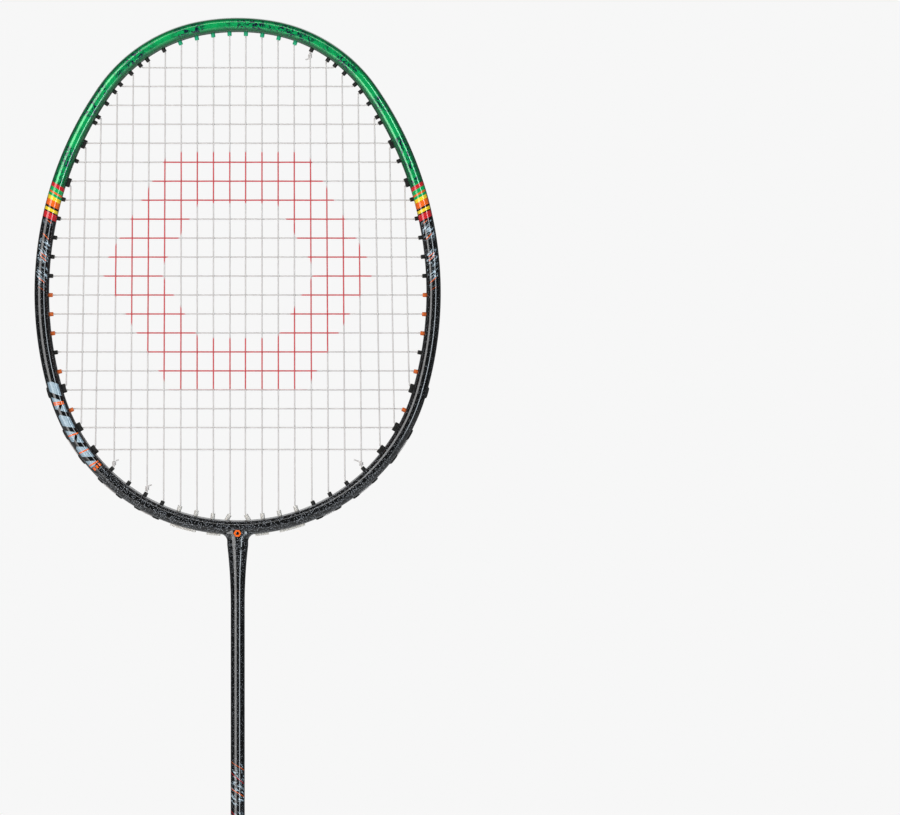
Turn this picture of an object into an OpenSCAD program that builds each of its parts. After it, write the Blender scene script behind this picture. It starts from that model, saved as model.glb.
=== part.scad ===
// Badminton racket. The butt end stands on z = 0, the shaft runs up +Z, and the string bed
// lies in the XZ plane: the front face looks towards -Y and the back face towards +Y.
// The hoop is drawn in its own plane as five tangent arcs. A place on it is given by its
// heading: the angle of the outward normal, from 0 at the crown to 180 at the throat.

/* [Hoop] */
// Height of the crown above the butt end
racket_len = 675; // [640:1:680]
// Radius of the outline at the crown
crown_r = 103; // [95:1:112]
// Radius of the outline at the shoulders
shoulder_r = 77.1; // [74:0.1:80]
// Radius of the outline along the sides
side_r = 177.7; // [170:0.1:186]
// Radius of the outline below the sides
lower_r = 94.6; // [91:0.1:98]
// Heading where the crown arc ends
crown_end = 10; // [8:1:12]
// Heading where the shoulder arc ends
shoulder_end = 55.4; // [54:0.1:57]
// Heading where the side arc ends
side_end = 106.5; // [105:0.1:108]
// Heading where the lower arc ends
lower_end = 170; // [168:1:172]
// Thickness of the hoop in its plane
rim_t = 7.15; // [6.8:0.05:8]
// Depth of the hoop from front to back
rim_depth = 10.4; // [9.6:0.1:12]
// Corner radius of the hoop's section
rim_corner_r = 2.6; // [2:0.1:3]
// Wall of the hoop
rim_wall = 1.1; // [0.9:0.05:1.3]
// Width of the string groove round the outside
groove_w = 3.2; // [3.1:0.1:3.6]
// Depth of the string groove
groove_depth = 1.4; // [1.35:0.05:1.6]

/* [Strings] */
// Diameter of the string
string_d = 0.7; // [0.6:0.01:0.72]
// Distance of the innermost main string from the centre line
first_main_x = 4; // [3.9:0.05:4.1]
// Spacing of the main strings at the crown
main_pitch_top = 8; // [7.95:0.01:8.02]
// Spacing of the main strings at the throat
main_pitch_bottom = 8.2; // [8.15:0.01:8.25]
// Height of the topmost cross string
first_cross_z = 651.5; // [651.2:0.1:651.8]
// Spacing of the cross strings
cross_pitch = 9.35; // [9.33:0.01:9.37]
// Drop from the last but one cross string to the last one
last_cross_drop = 10.9; // [10.5:0.1:11.2]

/* [Grommets] */
// Outer diameter of a grommet barrel
barrel_d = 2.1; // [2:0.05:2.2]
// Bore of a grommet barrel
barrel_bore_d = 1.6; // [1.55:0.05:1.65]
// How far a barrel stands out inside the hoop
barrel_out = 1.8; // [1.5:0.1:2.2]
// How far a throat barrel stands out inside the hoop
throat_barrel_out = 2.6; // [2.2:0.1:3]
// Distance between the two barrels of a paired grommet
pair_gap = 2.4; // [2.3:0.05:2.6]

/* [Shaft and throat] */
// Outer diameter of the shaft
shaft_d = 6.86; // [6.6:0.02:7.2]
// Inner diameter of the shaft
shaft_bore_d = 4.9; // [4.6:0.1:5.2]
// Height of the shaft's lower end, inside the handle
shaft_bottom_z = 78; // [70:1:95]
// Height of the lower end of the throat sleeve
throat_z = 388; // [380:1:395]
// Radius of the throat where it meets the hoop
neck_r = 5.15; // [4.9:0.05:5.3]

/* [Handle] */
// Width of the grip over its straight length
grip_w = 27.4; // [26:0.1:29]
// Depth of the grip over its straight length
grip_d = 24.6; // [23.5:0.1:26]
// Extra width of the grip at the butt end
butt_flare = 2.8; // [2:0.1:3.5]
// Thickness of the wound grip strip
wrap_t = 1.5; // [1.3:0.1:1.8]
// Height of the top of the wooden handle's shoulder
shoulder_z = 150; // [148:1:152]
// Height of the top of the cone cap
cone_top_z = 200.4; // [196:0.1:205]
// Depth of the vee cut into the cone cap's top edge
vee_depth = 4.2; // [3:0.1:5]

/* [Hidden] */

// Clearance between pieces that sit against each other, and between glued pieces
gap = 0.05;
glue_gap = 0.02;
// Room left beyond a face that a cut runs through
over = 1;
$fn = 48;
arc_fn = 360;

// The outline: headings where its arcs meet, their radii and their centres [x, z].
// The throat arc's radius is the one that brings the outline back to the centre line.
headings = [0, crown_end, shoulder_end, side_end, lower_end, 180];
upper_radii = [crown_r, shoulder_r, side_r, lower_r];
throat_r = sum_x(0) / sin(lower_end);
radii = concat(upper_radii, throat_r);
centre_0 = [0, racket_len - crown_r];
centre_1 = next_centre(centre_0, 0);
centre_2 = next_centre(centre_1, 1);
centre_3 = next_centre(centre_2, 2);
centre_4 = next_centre(centre_3, 3);
centres = [centre_0, centre_1, centre_2, centre_3, centre_4];
hoop_bottom_z = centre_4[1] - throat_r;

function sum_x(i) = i == 4 ? 0
    : upper_radii[i] * (sin(headings[i + 1]) - sin(headings[i])) + sum_x(i + 1);
function normal(h) = [sin(h), cos(h)];
function tangent(h) = [cos(h), -sin(h)];
function next_centre(c, i) = c + (radii[i] - radii[i + 1]) * normal(headings[i + 1]);
function arc_of(h) = len([for (edge = headings) if (edge <= h) edge]) - 1;
// A point at a heading, a depth inside the outline, and a shift along the tangent
function rim_point(h, depth, shift = 0) =
    centres[arc_of(h)] + (radii[arc_of(h)] - depth) * normal(h) + shift * tangent(h);

// A string is aimed at the middle of the barrel's part that stands inside the hoop.
aim_depth = rim_t + barrel_out / 2;
function in_arc(i, h) = h >= headings[i] && h <= headings[i + 1];
function heading_top(x) = [for (i = [0 : 2])
    let (h = asin(min(1, (x - centres[i][0]) / (radii[i] - aim_depth)))) if (in_arc(i, h)) h][0];
function heading_bottom(x) = [for (i = [3 : 4])
    let (h = 180 - asin(min(1, (x - centres[i][0]) / (radii[i] - aim_depth))))
    if (in_arc(i, h)) h][0];
function heading_cross(z) = [for (i = [0 : 4])
    let (c = (z - centres[i][1]) / (radii[i] - aim_depth))
    let (h = abs(c) <= 1 ? acos(c) : -1) if (in_arc(i, h)) h][0];
function cross_z(k) = first_cross_z - cross_pitch * (min(k, crosses - 1) - 1)
    - (k == crosses ? last_cross_drop : 0);
function main_top_x(n) = first_main_x + main_pitch_top * (n - 1);
function main_bottom_x(n) = first_main_x + main_pitch_bottom * (n - 1);

// A paired grommet has two barrels side by side. One takes a cross and the other takes the
// end of an outer main: the 10th and 11th at the top, and the 11th, 10th and 9th below.
crosses = 21;
mains_per_side = 11;
paired_crosses = [5, 7, 18, 20, 21];
function pair_sign(p) = p < 2 ? 1 : -1;
function pair_heading(p) =
    let (h = heading_cross(cross_z(paired_crosses[p])))
    h + pair_sign(p) * pair_gap / 2 / (radii[arc_of(h)] - aim_depth) * 180 / PI;
function is_paired(k) = len(search(k, paired_crosses)) > 0;
function pair_of(k) = search(k, paired_crosses)[0];
// Each string end is [heading, shift along the tangent]
function main_top(n) = n < 10 ? [heading_top(main_top_x(n)), 0]
    : [pair_heading(n - 10), pair_gap / 2];
function main_bottom(n) = n < 9 ? [heading_bottom(main_bottom_x(n)), 0]
    : [pair_heading(13 - n), -pair_gap / 2];
function cross_end(k) = is_paired(k)
    ? [pair_heading(pair_of(k)), -pair_sign(pair_of(k)) * pair_gap / 2]
    : [heading_cross(cross_z(k)), 0];

// Depth of the string's middle in the groove, and below the hoop at the throat
run_depth = 0.42;
run_depth_throat = -0.3;
// The innermost throat barrels lean outward, to come out beside the throat.
lean_heading = 150;
lean_tip = rim_point(main_bottom(1)[0], rim_t + throat_barrel_out);
lean_dir = normal(lean_heading);
// Where a line from p along d meets the circle of radius r about c
function reach(p, d, c, r) =
    let (w = p - c) -(w * d) + sqrt((w * d) * (w * d) - w * w + r * r);
lean_len = reach(lean_tip, lean_dir, centre_4, throat_r - run_depth_throat);
lean_exit = lean_tip + lean_len * lean_dir;
lean_exit_heading = 180 - asin(lean_exit[0] / norm(lean_exit - centre_4));

// Lanes: the mains run just behind the mid-plane and the crosses just in front of it.
lane = string_d / 2 + 0.03;
main_lane = -lane;
cross_lane = lane;
outer_lane = 3 * lane;
string_r = string_d / 2;
bend_r = string_r + 0.07;
bend_h = string_d + 0.04;
leg_r = string_r - 0.01;
flange_t = 0.5;
flange_d = 3;

// The hoop's plane: local X is +X, local Y is +Z, and local Z is -Y.
module in_plane() rotate([90, 0, 0]) children();
module left_side() mirror([1, 0, 0]) children();
module both_sides() {
    children();
    left_side() children();
}

// Puts its children at a heading: local +X is the outward normal at the outline, and
// local -Y is the way the heading grows.
module at_rim(h) {
    i = arc_of(h);
    translate([centres[i][0], centres[i][1], 0])
        rotate([0, 0, 90 - h])
            translate([radii[i], 0, 0])
                children();
}

// Sweeps a section along the outline. In the section, x is the distance outside the outline.
// Neighbouring arcs overlap by a hair where they meet, so that they make one solid.
lap = 0.04;
// Every other arc has its section drawn slimmer by this much, so that the arcs join at a
// clean edge.
trim = 0.02;
module along_rim(from, to, join = lap) {
    for (i = [0 : 4]) {
        starts_here = from >= headings[i];
        ends_here = to <= headings[i + 1];
        a = starts_here ? from : headings[i] - join;
        b = ends_here ? to : headings[i + 1] + join;
        $slim = trim * (i % 2);
        if (from < headings[i + 1] && to > headings[i])
            translate([centres[i][0], centres[i][1], 0])
                rotate_extrude(angle = b - a, start = 90 - b, $fn = arc_fn)
                    translate([radii[i], 0])
                        children();
    }
}

// A rounded rectangle from x0 to x1, of full height h
module rounded_section(x0, x1, h, r) {
    translate([x0 + r, -h / 2]) square([x1 - x0 - 2 * r, h]);
    translate([x0, r - h / 2]) square([x1 - x0, h - 2 * r]);
    for (x = [x0 + r, x1 - r], y = [r - h / 2, h / 2 - r])
        translate([x, y]) circle(r = r, $fn = 32);
}
module slim_section(x0, x1, h, r)
    rounded_section(x0 + $slim, x1 - $slim, h - 2 * $slim, r - $slim);

// ---- Hoop -------------------------------------------------------------------------

module rim_body() along_rim(0, 180) slim_section(-rim_t, 0, rim_depth, rim_corner_r);
cavity_outer = -(groove_depth + rim_wall);
cavity_corner_r = 1.5;
module rim_cavity(play) slim_section(-rim_t + rim_wall + play, cavity_outer - play,
    rim_depth - 2 * rim_wall - 2 * play, cavity_corner_r - play);
groove_end = lean_exit_heading + 1.2;

// A straight hole or barrel through the rim, from one depth to another
module rim_rod(h, shift, r, deep, shallow, height = 0) {
    at_rim(h) translate([-deep, -shift, height]) rotate([0, 90, 0])
        cylinder(r = r, h = deep - shallow);
}
module leaning_rod(r, extra_in, extra_out, height = 0) {
    start = lean_tip - extra_in * lean_dir;
    translate([start[0], start[1], height]) rotate([0, 0, 90 - lean_heading]) rotate([0, 90, 0])
        cylinder(r = r, h = lean_len + extra_in + extra_out);
}
hole_r = barrel_d / 2 + gap;
// How far the slanting hole runs on past the outline
lean_run_out = 1.5;
module single_holes() {
    for (n = [1 : 9]) rim_rod(main_top(n)[0], 0, hole_r, rim_t + over, 0);
    for (n = [2 : 8]) rim_rod(main_bottom(n)[0], 0, hole_r, rim_t + over, 0);
    for (k = [1 : crosses]) if (!is_paired(k)) rim_rod(cross_end(k)[0], 0, hole_r, rim_t + over, 0);
    leaning_rod(hole_r, 0, lean_run_out);
}
// A paired grommet goes through a slot: two round ends joined by a straight part.
module slot_rod(h, r, deep, shallow) {
    for (side = [-1, 1]) rim_rod(h, side * pair_gap / 2, r, deep, shallow);
    at_rim(h) translate([-deep, -pair_gap / 2, -r]) cube([deep - shallow, pair_gap, 2 * r]);
}
module paired_holes() for (p = [0 : 4]) slot_rod(pair_heading(p), hole_r, rim_t + over, 0);

module half_hoop() difference() {
    rim_body();
    along_rim(0, 180) rim_cavity(0);
    along_rim(0, groove_end) translate([$slim - groove_depth, $slim - groove_w / 2])
        square([groove_depth + over, groove_w - 2 * $slim]);
    single_holes();
    paired_holes();
}
stem_r = shaft_bore_d / 2 - gap;
module head_frame() color([0.05, 0.3, 0.18]) difference() {
    in_plane() both_sides() half_hoop();
    translate([0, 0, hoop_bottom_z - over])
        cylinder(r = stem_r + gap, h = groove_depth + rim_wall + 2 * over);
}

// ---- Throat and shaft ----------------------------------------------------------------

sleeve_wall = 0.15;
neck_top_z = hoop_bottom_z - 5;
throat_top_z = hoop_bottom_z + 2;
fillet_r = 3;
shaft_top_z = hoop_bottom_z - 0.5;
throat_growth = neck_r - shaft_d / 2 - sleeve_wall;
function neck_radius(z) = shaft_d / 2 + sleeve_wall
    + throat_growth * pow((z - throat_z) / (neck_top_z - throat_z), 2);
neck_steps = 10;
module neck_outline() polygon(concat(
    [[0, throat_z]],
    [for (s = [0 : neck_steps])
        let (z = throat_z + (neck_top_z - throat_z) * s / neck_steps) [neck_radius(z), z]],
    [[neck_r, throat_top_z], [0, throat_top_z]]));
// The web that spreads the neck into the hoop, with a concave fillet on each side
module throat_web() {
    reach_x = neck_r + fillet_r;
    base_z = centre_4[1] - sqrt(throat_r * throat_r - reach_x * reach_x) - fillet_r;
    in_plane() linear_extrude(height = 2 * neck_r - 0.5, center = true) difference() {
        translate([-reach_x, base_z]) square([2 * reach_x, throat_top_z - base_z]);
        for (side = [-1, 1]) translate([side * reach_x, base_z]) circle(r = fillet_r);
    }
}
module t_joint() color([0.07, 0.07, 0.08]) difference() {
    union() {
        rotate_extrude($fn = 72) neck_outline();
        throat_web();
    }
    in_plane() translate([0, centre_4[1], 0])
        cylinder(r = throat_r + glue_gap, h = 4 * rim_depth, center = true, $fn = arc_fn);
    translate([0, 0, throat_z - over])
        cylinder(r = shaft_d / 2 + glue_gap, h = shaft_top_z + gap - throat_z + over);
    cylinder(r = stem_r + gap, h = racket_len);
}

// Insert that ties the shaft to the hoop: a curved bar in the hoop and a stem in the shaft
core_reach = 10;
stem_len = 34;
module t_joint_core() color([0.62, 0.63, 0.66]) {
    difference() {
        union() {
            in_plane() both_sides() along_rim(180 - core_reach, 180) rim_cavity(gap);
            translate([0, 0, shaft_top_z - stem_len])
                cylinder(r = stem_r, h = hoop_bottom_z + groove_depth + rim_wall + over
                    - shaft_top_z + stem_len);
        }
        in_plane() both_sides() {
            rim_rod(main_bottom(2)[0], 0, hole_r, rim_t + over, 0);
            leaning_rod(hole_r, 0, lean_run_out);
        }
    }
}

module shaft() color([0.06, 0.06, 0.07]) translate([0, 0, shaft_bottom_z]) difference() {
    cylinder(d = shaft_d, h = shaft_top_z - shaft_bottom_z);
    translate([0, 0, -over]) cylinder(d = shaft_bore_d, h = racket_len);
}

// ---- Handle ---------------------------------------------------------------------------

// An octagon of the given width and depth, with its corners cut at 45 degrees
corner_cut = 0.29;
module octagon(w, d) {
    c = corner_cut * d;
    polygon([[w / 2 - c, -d / 2], [w / 2, c - d / 2], [w / 2, d / 2 - c], [w / 2 - c, d / 2],
             [c - w / 2, d / 2], [-w / 2, d / 2 - c], [-w / 2, c - d / 2], [c - w / 2, -d / 2]]);
}
// Round envelope that turns the octagonal handle into the round top: [radius, z]
envelope = [[15.3, 118], [13.5, 138], [12.4, 146], [11.95, 151], [10.7, 158], [10, 163.5], [9.5, 166]];
// The cone that rounds off the swelling at the butt: its radius at flare_z and flare_end_z
flare_z = 9;
flare_end_z = 34;
flare_r = grip_w / 2 + 3;
flare_end_r = grip_d / 2 - 0.4;
grip_top_z = 166;
module envelope_solid(grow, z0) rotate_extrude($fn = 72)
    polygon(concat([[0, z0], [envelope[0][0] + grow, z0]],
        [for (p = envelope) [p[0] + grow, p[1]]], [[0, grip_top_z]]));
// The handle's outside, made bigger or smaller by grow all round
module handle_body(grow, z0) intersection() {
    translate([0, 0, z0]) linear_extrude(height = grip_top_z - z0)
        octagon(grip_w + 2 * grow, grip_d + 2 * grow);
    envelope_solid(grow, z0 - over);
}
module butt_swell(grow, z0, z1) intersection() {
    translate([0, 0, z0]) linear_extrude(height = z1 - z0)
        octagon(grip_w + butt_flare + 2 * grow, grip_d + butt_flare + 2 * grow);
    rotate_extrude($fn = 72) polygon([[0, z0 - over], [flare_r + grow, z0 - over],
        [flare_r + grow, flare_z], [flare_end_r + grow, flare_end_z], [0, flare_end_z]]);
}

plate_t = 2.5;
wood_grow = -wrap_t;
wood_bottom_z = plate_t + gap;
neck_wood_r = 7.9;
wood_neck_top = 188;
wood_cone_z = 166.5;
// The turned wooden neck that carries the cone cap: [radius, z]
module wood_neck(play) rotate_extrude($fn = 72) polygon([[0, shoulder_z - over],
    [neck_wood_r + play, shoulder_z - over], [neck_wood_r + play, wood_cone_z],
    [4.6 + play, wood_neck_top + play], [0, wood_neck_top + play]]);
channel = [10, 8, 46];
channel_z = 20;
pin_r = 0.6;
pin_z = 9;
pin_depth = 6;
module pin_pair(r, reach_y) for (side = [0, 180])
    rotate([0, 0, side]) translate([0, -reach_y, pin_z]) rotate([-90, 0, 0])
        cylinder(r = r, h = pin_depth);
pin_face_y = (grip_d + butt_flare) / 2 + wood_grow;
module wooden_handle() difference() {
    union() {
        intersection() {
            handle_body(wood_grow, wood_bottom_z);
            cube([100, 100, 2 * shoulder_z], center = true);
        }
        wood_neck(0);
    }
    translate([0, 0, shaft_bottom_z - gap]) cylinder(d = shaft_d + 2 * glue_gap, h = racket_len);
    translate([-channel[0] / 2, -channel[1] / 2, channel_z]) cube(channel);
    pin_pair(pin_r + glue_gap, pin_face_y);
}
module handle_half_front() color([0.78, 0.62, 0.42]) intersection() {
    wooden_handle();
    translate([-50, -100, 0]) cube([100, 100, 300]);
}
module handle_half_back() color([0.74, 0.58, 0.38]) intersection() {
    wooden_handle();
    translate([-50, 0, 0]) cube([100, 100, 300]);
}

cap_top_z = 16;
cap_inset = 1;
badge_r = 8;
badge_t = 0.4;
module butt_cap() color([0.09, 0.09, 0.1]) difference() {
    union() {
        linear_extrude(height = plate_t) octagon(grip_w + butt_flare - cap_inset,
            grip_d + butt_flare - cap_inset);
        butt_swell(wood_grow, 0.5, cap_top_z);
    }
    translate([0, 0, plate_t]) linear_extrude(height = cap_top_z)
        octagon(grip_w + 2 * wood_grow + 2 * gap, grip_d + 2 * wood_grow + 2 * gap);
    translate([0, 0, -over]) cylinder(r = badge_r + gap, h = over + badge_t + gap);
    pin_pair(pin_r + glue_gap, pin_face_y);
}
module butt_badge() color([0.7, 0.71, 0.73]) cylinder(r = badge_r, h = badge_t);
module butt_pins() color([0.6, 0.6, 0.62]) pin_pair(pin_r, pin_face_y - gap);

module grip_wrap() color([0.13, 0.13, 0.14]) difference() {
    union() {
        handle_body(0, wood_bottom_z);
        butt_swell(0, wood_bottom_z, flare_end_z);
    }
    intersection() {
        handle_body(wood_grow + gap, 0);
        cube([100, 100, 2 * (shoulder_z + gap)], center = true);
    }
    butt_swell(wood_grow + gap, 0, cap_top_z + gap);
    cylinder(r = sleeve_r + gap, h = 2 * grip_top_z);
}

sleeve_r = 9;
vee_half_w = 4;
// The cone cap's outside: [radius, z]
cone_profile = [[sleeve_r, shoulder_z + gap], [sleeve_r, 166.5], [8.6, 169.6], [7.1, 179.4], [4.95, 194],
                [4.15, cone_top_z]];
module cone_cap() color([0.07, 0.07, 0.08]) difference() {
    rotate_extrude($fn = 72) polygon(concat([[0, shoulder_z + gap]], cone_profile, [[0, cone_top_z]]));
    wood_neck(gap);
    translate([0, 0, shoulder_z]) cylinder(d = shaft_d + 2 * glue_gap, h = 100);
    in_plane() linear_extrude(height = 4 * sleeve_r, center = true)
        polygon([[0, cone_top_z - vee_depth], [vee_half_w, cone_top_z + gap],
                 [vee_half_w, cone_top_z + over], [-vee_half_w, cone_top_z + over],
                 [-vee_half_w, cone_top_z + gap]]);
}

tape_t = 0.35;
tape_top_z = 167.4;
// The grip's outside that the tape lies on: [radius, z]
tape_seat = [[10.77 + gap, 157.6], [10 + gap, 163.5], [9.5 + gap, grip_top_z]];
// Tape wound over the top end of the grip and on to the cone cap
module finishing_tape() color([0.09, 0.09, 0.1]) rotate_extrude($fn = 72) polygon(concat(
    [for (p = tape_seat) [p[0] + tape_t, p[1]]],
    [[sleeve_r + tape_t, tape_top_z], [sleeve_r + gap, tape_top_z],
     [sleeve_r + gap, grip_top_z + gap], [9.5 + gap, grip_top_z + gap]],
    [for (i = [2 : -1 : 0]) tape_seat[i]]));

// ---- Grommets ---------------------------------------------------------------------------

flange_deep = groove_depth - gap;
module barrel_bore(h, shift, out) rim_rod(h, shift, barrel_bore_d / 2, rim_t + out + over, -over);
module grommet(h, out = barrel_out) difference() {
    union() {
        rim_rod(h, 0, barrel_d / 2, rim_t + out, flange_deep - 0.1);
        rim_rod(h, 0, flange_d / 2, flange_deep, flange_deep - flange_t);
    }
    barrel_bore(h, 0, out);
}
module paired_grommet(h) difference() {
    union() {
        slot_rod(h, barrel_d / 2, rim_t + barrel_out, flange_deep - 0.1);
        slot_rod(h, flange_d / 2, flange_deep, flange_deep - flange_t);
    }
    for (side = [-1, 1]) barrel_bore(h, side * pair_gap / 2, barrel_out);
}
module grommets_top() color([0.1, 0.6, 0.42]) in_plane() both_sides()
    for (n = [1 : 4]) grommet(main_top(n)[0]);
module upper_grommets() {
    for (n = [5 : 9]) grommet(main_top(n)[0]);
    for (k = [1 : 12]) if (!is_paired(k)) grommet(cross_end(k)[0]);
}
module side_grommets() for (k = [13, 14, 15, 17, 19]) grommet(cross_end(k)[0]);
module lower_grommets() {
    grommet(cross_end(16)[0]);
    for (n = [5 : 8]) grommet(main_bottom(n)[0]);
}
module paired_grommets() for (p = [0 : 4]) paired_grommet(pair_heading(p));

// A throat grommet is one clear strip with two long barrels. Its two walls stand out below
// the hoop, and the string loop lies between them.
strip_w = 3;
channel_w = 2;
strip_out = 0.9;
strip_floor = 0.15;
strip_over = 1.9;
module strip_body(from, to) difference() {
    along_rim(from, to) translate([-flange_deep, -strip_w / 2])
        square([flange_deep + strip_out, strip_w]);
    along_rim(from - 1, to + 1) translate([-strip_floor, -channel_w / 2])
        square([strip_floor + 2 * strip_out, channel_w]);
}
function heading_shift(mm) = mm / throat_r * 180 / PI;
module throat_barrel(n) {
    if (n == 1) leaning_rod(barrel_d / 2, 0, -1);
    else rim_rod(main_bottom(n)[0], 0, barrel_d / 2, rim_t + throat_barrel_out, flange_deep - 0.1);
}
module throat_bore(n) {
    if (n == 1) leaning_rod(barrel_bore_d / 2, over, over);
    else barrel_bore(main_bottom(n)[0], 0, throat_barrel_out);
}
module throat_strip(inner) difference() {
    union() {
        strip_body(main_bottom(inner + 1)[0] - heading_shift(strip_over),
            inner == 1 ? lean_exit_heading + heading_shift(0.95)
                       : main_bottom(inner)[0] + heading_shift(strip_over));
        throat_barrel(inner);
        throat_barrel(inner + 1);
    }
    throat_bore(inner);
    throat_bore(inner + 1);
}
module throat_grommets() for (inner = [1, 3]) throat_strip(inner);

module grommets_upper_right() color([0.08, 0.08, 0.08]) in_plane() upper_grommets();
module grommets_upper_left() color([0.08, 0.08, 0.08]) in_plane() left_side() upper_grommets();
module grommets_side_right() color([0.85, 0.32, 0.08]) in_plane() side_grommets();
module grommets_side_left() color([0.85, 0.32, 0.08]) in_plane() left_side() side_grommets();
module grommets_lower_right() color([0.08, 0.08, 0.08]) in_plane() lower_grommets();
module grommets_lower_left() color([0.08, 0.08, 0.08]) in_plane() left_side() lower_grommets();
module grommets_paired_right() color([0.1, 0.1, 0.1]) in_plane() paired_grommets();
module grommets_paired_left() color([0.1, 0.1, 0.1]) in_plane() left_side() paired_grommets();
module throat_grommets_right() color([0.9, 0.9, 0.88]) in_plane() throat_grommets();
module throat_grommets_left() color([0.9, 0.9, 0.88]) in_plane() left_side() throat_grommets();

// ---- Strings ----------------------------------------------------------------------------

// Lengths of string stop a hair short of each bend, inside the short round joint that
// makes the bend.
short = 0.1;
short_turn = 0.06;
// A straight length of string between two points of the hoop's plane
module span(a, b, height) {
    d = b - a;
    translate([a[0], a[1], height]) rotate([0, 0, atan2(d[1], d[0])]) translate([short, 0, 0])
        rotate([0, 90, 0]) cylinder(r = string_r, h = norm(d) - 2 * short);
}
module bend(p, height) translate([p[0], p[1], height]) cylinder(r = bend_r, h = bend_h, center = true);
// A length of string laid in the groove
module groove_run(from, to, height, depth = run_depth) {
    along_rim(from + short_turn, to - short_turn, -short_turn)
        translate([-depth, height]) circle(r = string_r);
    for (i = [1 : 4])
        if (from < headings[i] && to > headings[i]) bend(rim_point(headings[i], depth), height);
}
// Heading of a string end that stands beside its site by a shift
function end_heading(end, depth) =
    end[0] + atan(end[1] / (radii[arc_of(end[0])] - depth));
// The run in the groove between two string ends
module string_loop(a, b, height)
    groove_run(end_heading(a, run_depth), end_heading(b, run_depth), height);
// Where a string leaves the inner end of its barrel
tip_room = 0.45;
function tip_point(end, out = barrel_out) = rim_point(end[0], rim_t + out + tip_room, end[1]);
// The leg through a barrel, from its tip to the groove, with a bend at each end
module leg(end, height, out = barrel_out, depth = run_depth) {
    rim_rod(end[0], end[1], leg_r, rim_t + out + tip_room - short, depth + short, height);
    bend(tip_point(end, out), height);
    bend(rim_point(end[0], depth, end[1]), height);
}
// A crossing from one lane to another, in the groove
module lane_change(h, from, to, depth = run_depth) {
    p = rim_point(h, depth);
    translate([p[0], p[1], min(from, to)]) cylinder(r = leg_r, h = abs(to - from));
    bend(p, from);
    bend(p, to);
}
// Two hitches round a neighbouring string, and a short cut end. Local +X runs along that string.
hitch_r = 2 * lane + 0.02;
hitch_tube_r = 0.3;
hitch_step = 0.66;
hitch_start = 0.8;
tail_len = 2;
module knot(p, heading, height, hitch_height) translate([p[0], p[1], 0]) rotate([0, 0, heading]) {
    last = hitch_start + hitch_step;
    for (x = [hitch_start, last]) translate([x, 0, height]) rotate([0, 90, 0])
        rotate_extrude() translate([hitch_r, 0]) circle(r = hitch_tube_r);
    translate([short, 0, hitch_height]) rotate([0, 90, 0]) cylinder(r = leg_r, h = last);
    translate([last, hitch_r, height]) rotate([-90, 0, 0]) cylinder(r = leg_r, h = tail_len);
}
function direction(a, b) = atan2(b[1] - a[1], b[0] - a[0]);

function throat_out(n) = n <= 4 ? throat_barrel_out : barrel_out;
function top_tip(n) = tip_point(main_top(n));
function bottom_tip(n) = n == 1 ? lean_tip - tip_room * lean_dir
    : tip_point(main_bottom(n), throat_out(n));
module half_mains() {
    for (n = [1 : mains_per_side]) {
        span(top_tip(n), bottom_tip(n), main_lane);
        leg(main_top(n), main_lane);
    }
    for (n = [5 : mains_per_side]) leg(main_bottom(n), main_lane);
    for (n = [2 : 4]) leg(main_bottom(n), main_lane, throat_barrel_out, run_depth_throat);
    leaning_rod(leg_r, tip_room - short, -short, main_lane);
    bend(bottom_tip(1), main_lane);
    bend(lean_exit, main_lane);
    for (n = [2 : 2 : 10])
        string_loop(main_top(n), main_top(n + 1), main_lane);
    for (n = [5, 7, 9])
        string_loop(main_bottom(n + 1), main_bottom(n), main_lane);
    groove_run(main_bottom(2)[0], lean_exit_heading, main_lane, run_depth_throat);
    groove_run(main_bottom(4)[0], main_bottom(3)[0], main_lane, run_depth_throat);
    main_tie_off();
}
// The loop that joins the two innermost mains over the crown
module crown_loop() {
    h = main_top(1)[0];
    translate([centre_0[0], centre_0[1], main_lane])
        rotate_extrude(angle = 2 * (h - short_turn), start = 90 - h + short_turn, $fn = arc_fn)
            translate([crown_r - run_depth, 0]) circle(r = string_r);
}
// The outermost main runs back round the hoop and is tied to the eighth one.
tie_change = 2.2;
module main_tie_off() {
    start = end_heading(main_bottom(11), run_depth);
    hole = main_bottom(8)[0];
    lane_change(start, main_lane, -outer_lane);
    groove_run(start, hole - tie_change, -outer_lane);
    lane_change(hole - tie_change, -outer_lane, cross_lane);
    groove_run(hole - tie_change, hole, cross_lane);
    leg([hole, 0], cross_lane);
    knot(bottom_tip(8), direction(bottom_tip(8), top_tip(8)), main_lane, cross_lane);
}
string_white = [0.93, 0.93, 0.92];
module main_string() color(string_white) in_plane() {
    both_sides() half_mains();
    crown_loop();
}

module cross_loop(k) string_loop(cross_end(k), cross_end(k + 1), cross_lane);
// A cross string's end, run round to a main string's barrel and tied to that main
module cross_tie_off(end, h, tip, far_tip) {
    start = end_heading(end, run_depth);
    lane_change(start, cross_lane, outer_lane);
    groove_run(min(start, h), max(start, h), outer_lane);
    lane_change(h, cross_lane, outer_lane);
    leg([h, 0], cross_lane);
    knot(tip, direction(tip, far_tip), main_lane, cross_lane);
}
module cross_string() color(string_white) in_plane() {
    for (k = [1 : crosses]) {
        tip = tip_point(cross_end(k));
        span([-tip[0], tip[1]], tip, cross_lane);
    }
    both_sides() for (k = [1 : crosses]) leg(cross_end(k), cross_lane);
    for (k = [2 : 2 : crosses - 1]) cross_loop(k);
    left_side() for (k = [1 : 2 : crosses - 2]) cross_loop(k);
    cross_tie_off(cross_end(1), main_top(5)[0], top_tip(5), bottom_tip(5));
    left_side() cross_tie_off(cross_end(crosses), main_bottom(6)[0], bottom_tip(6), top_tip(6));
}

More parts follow.
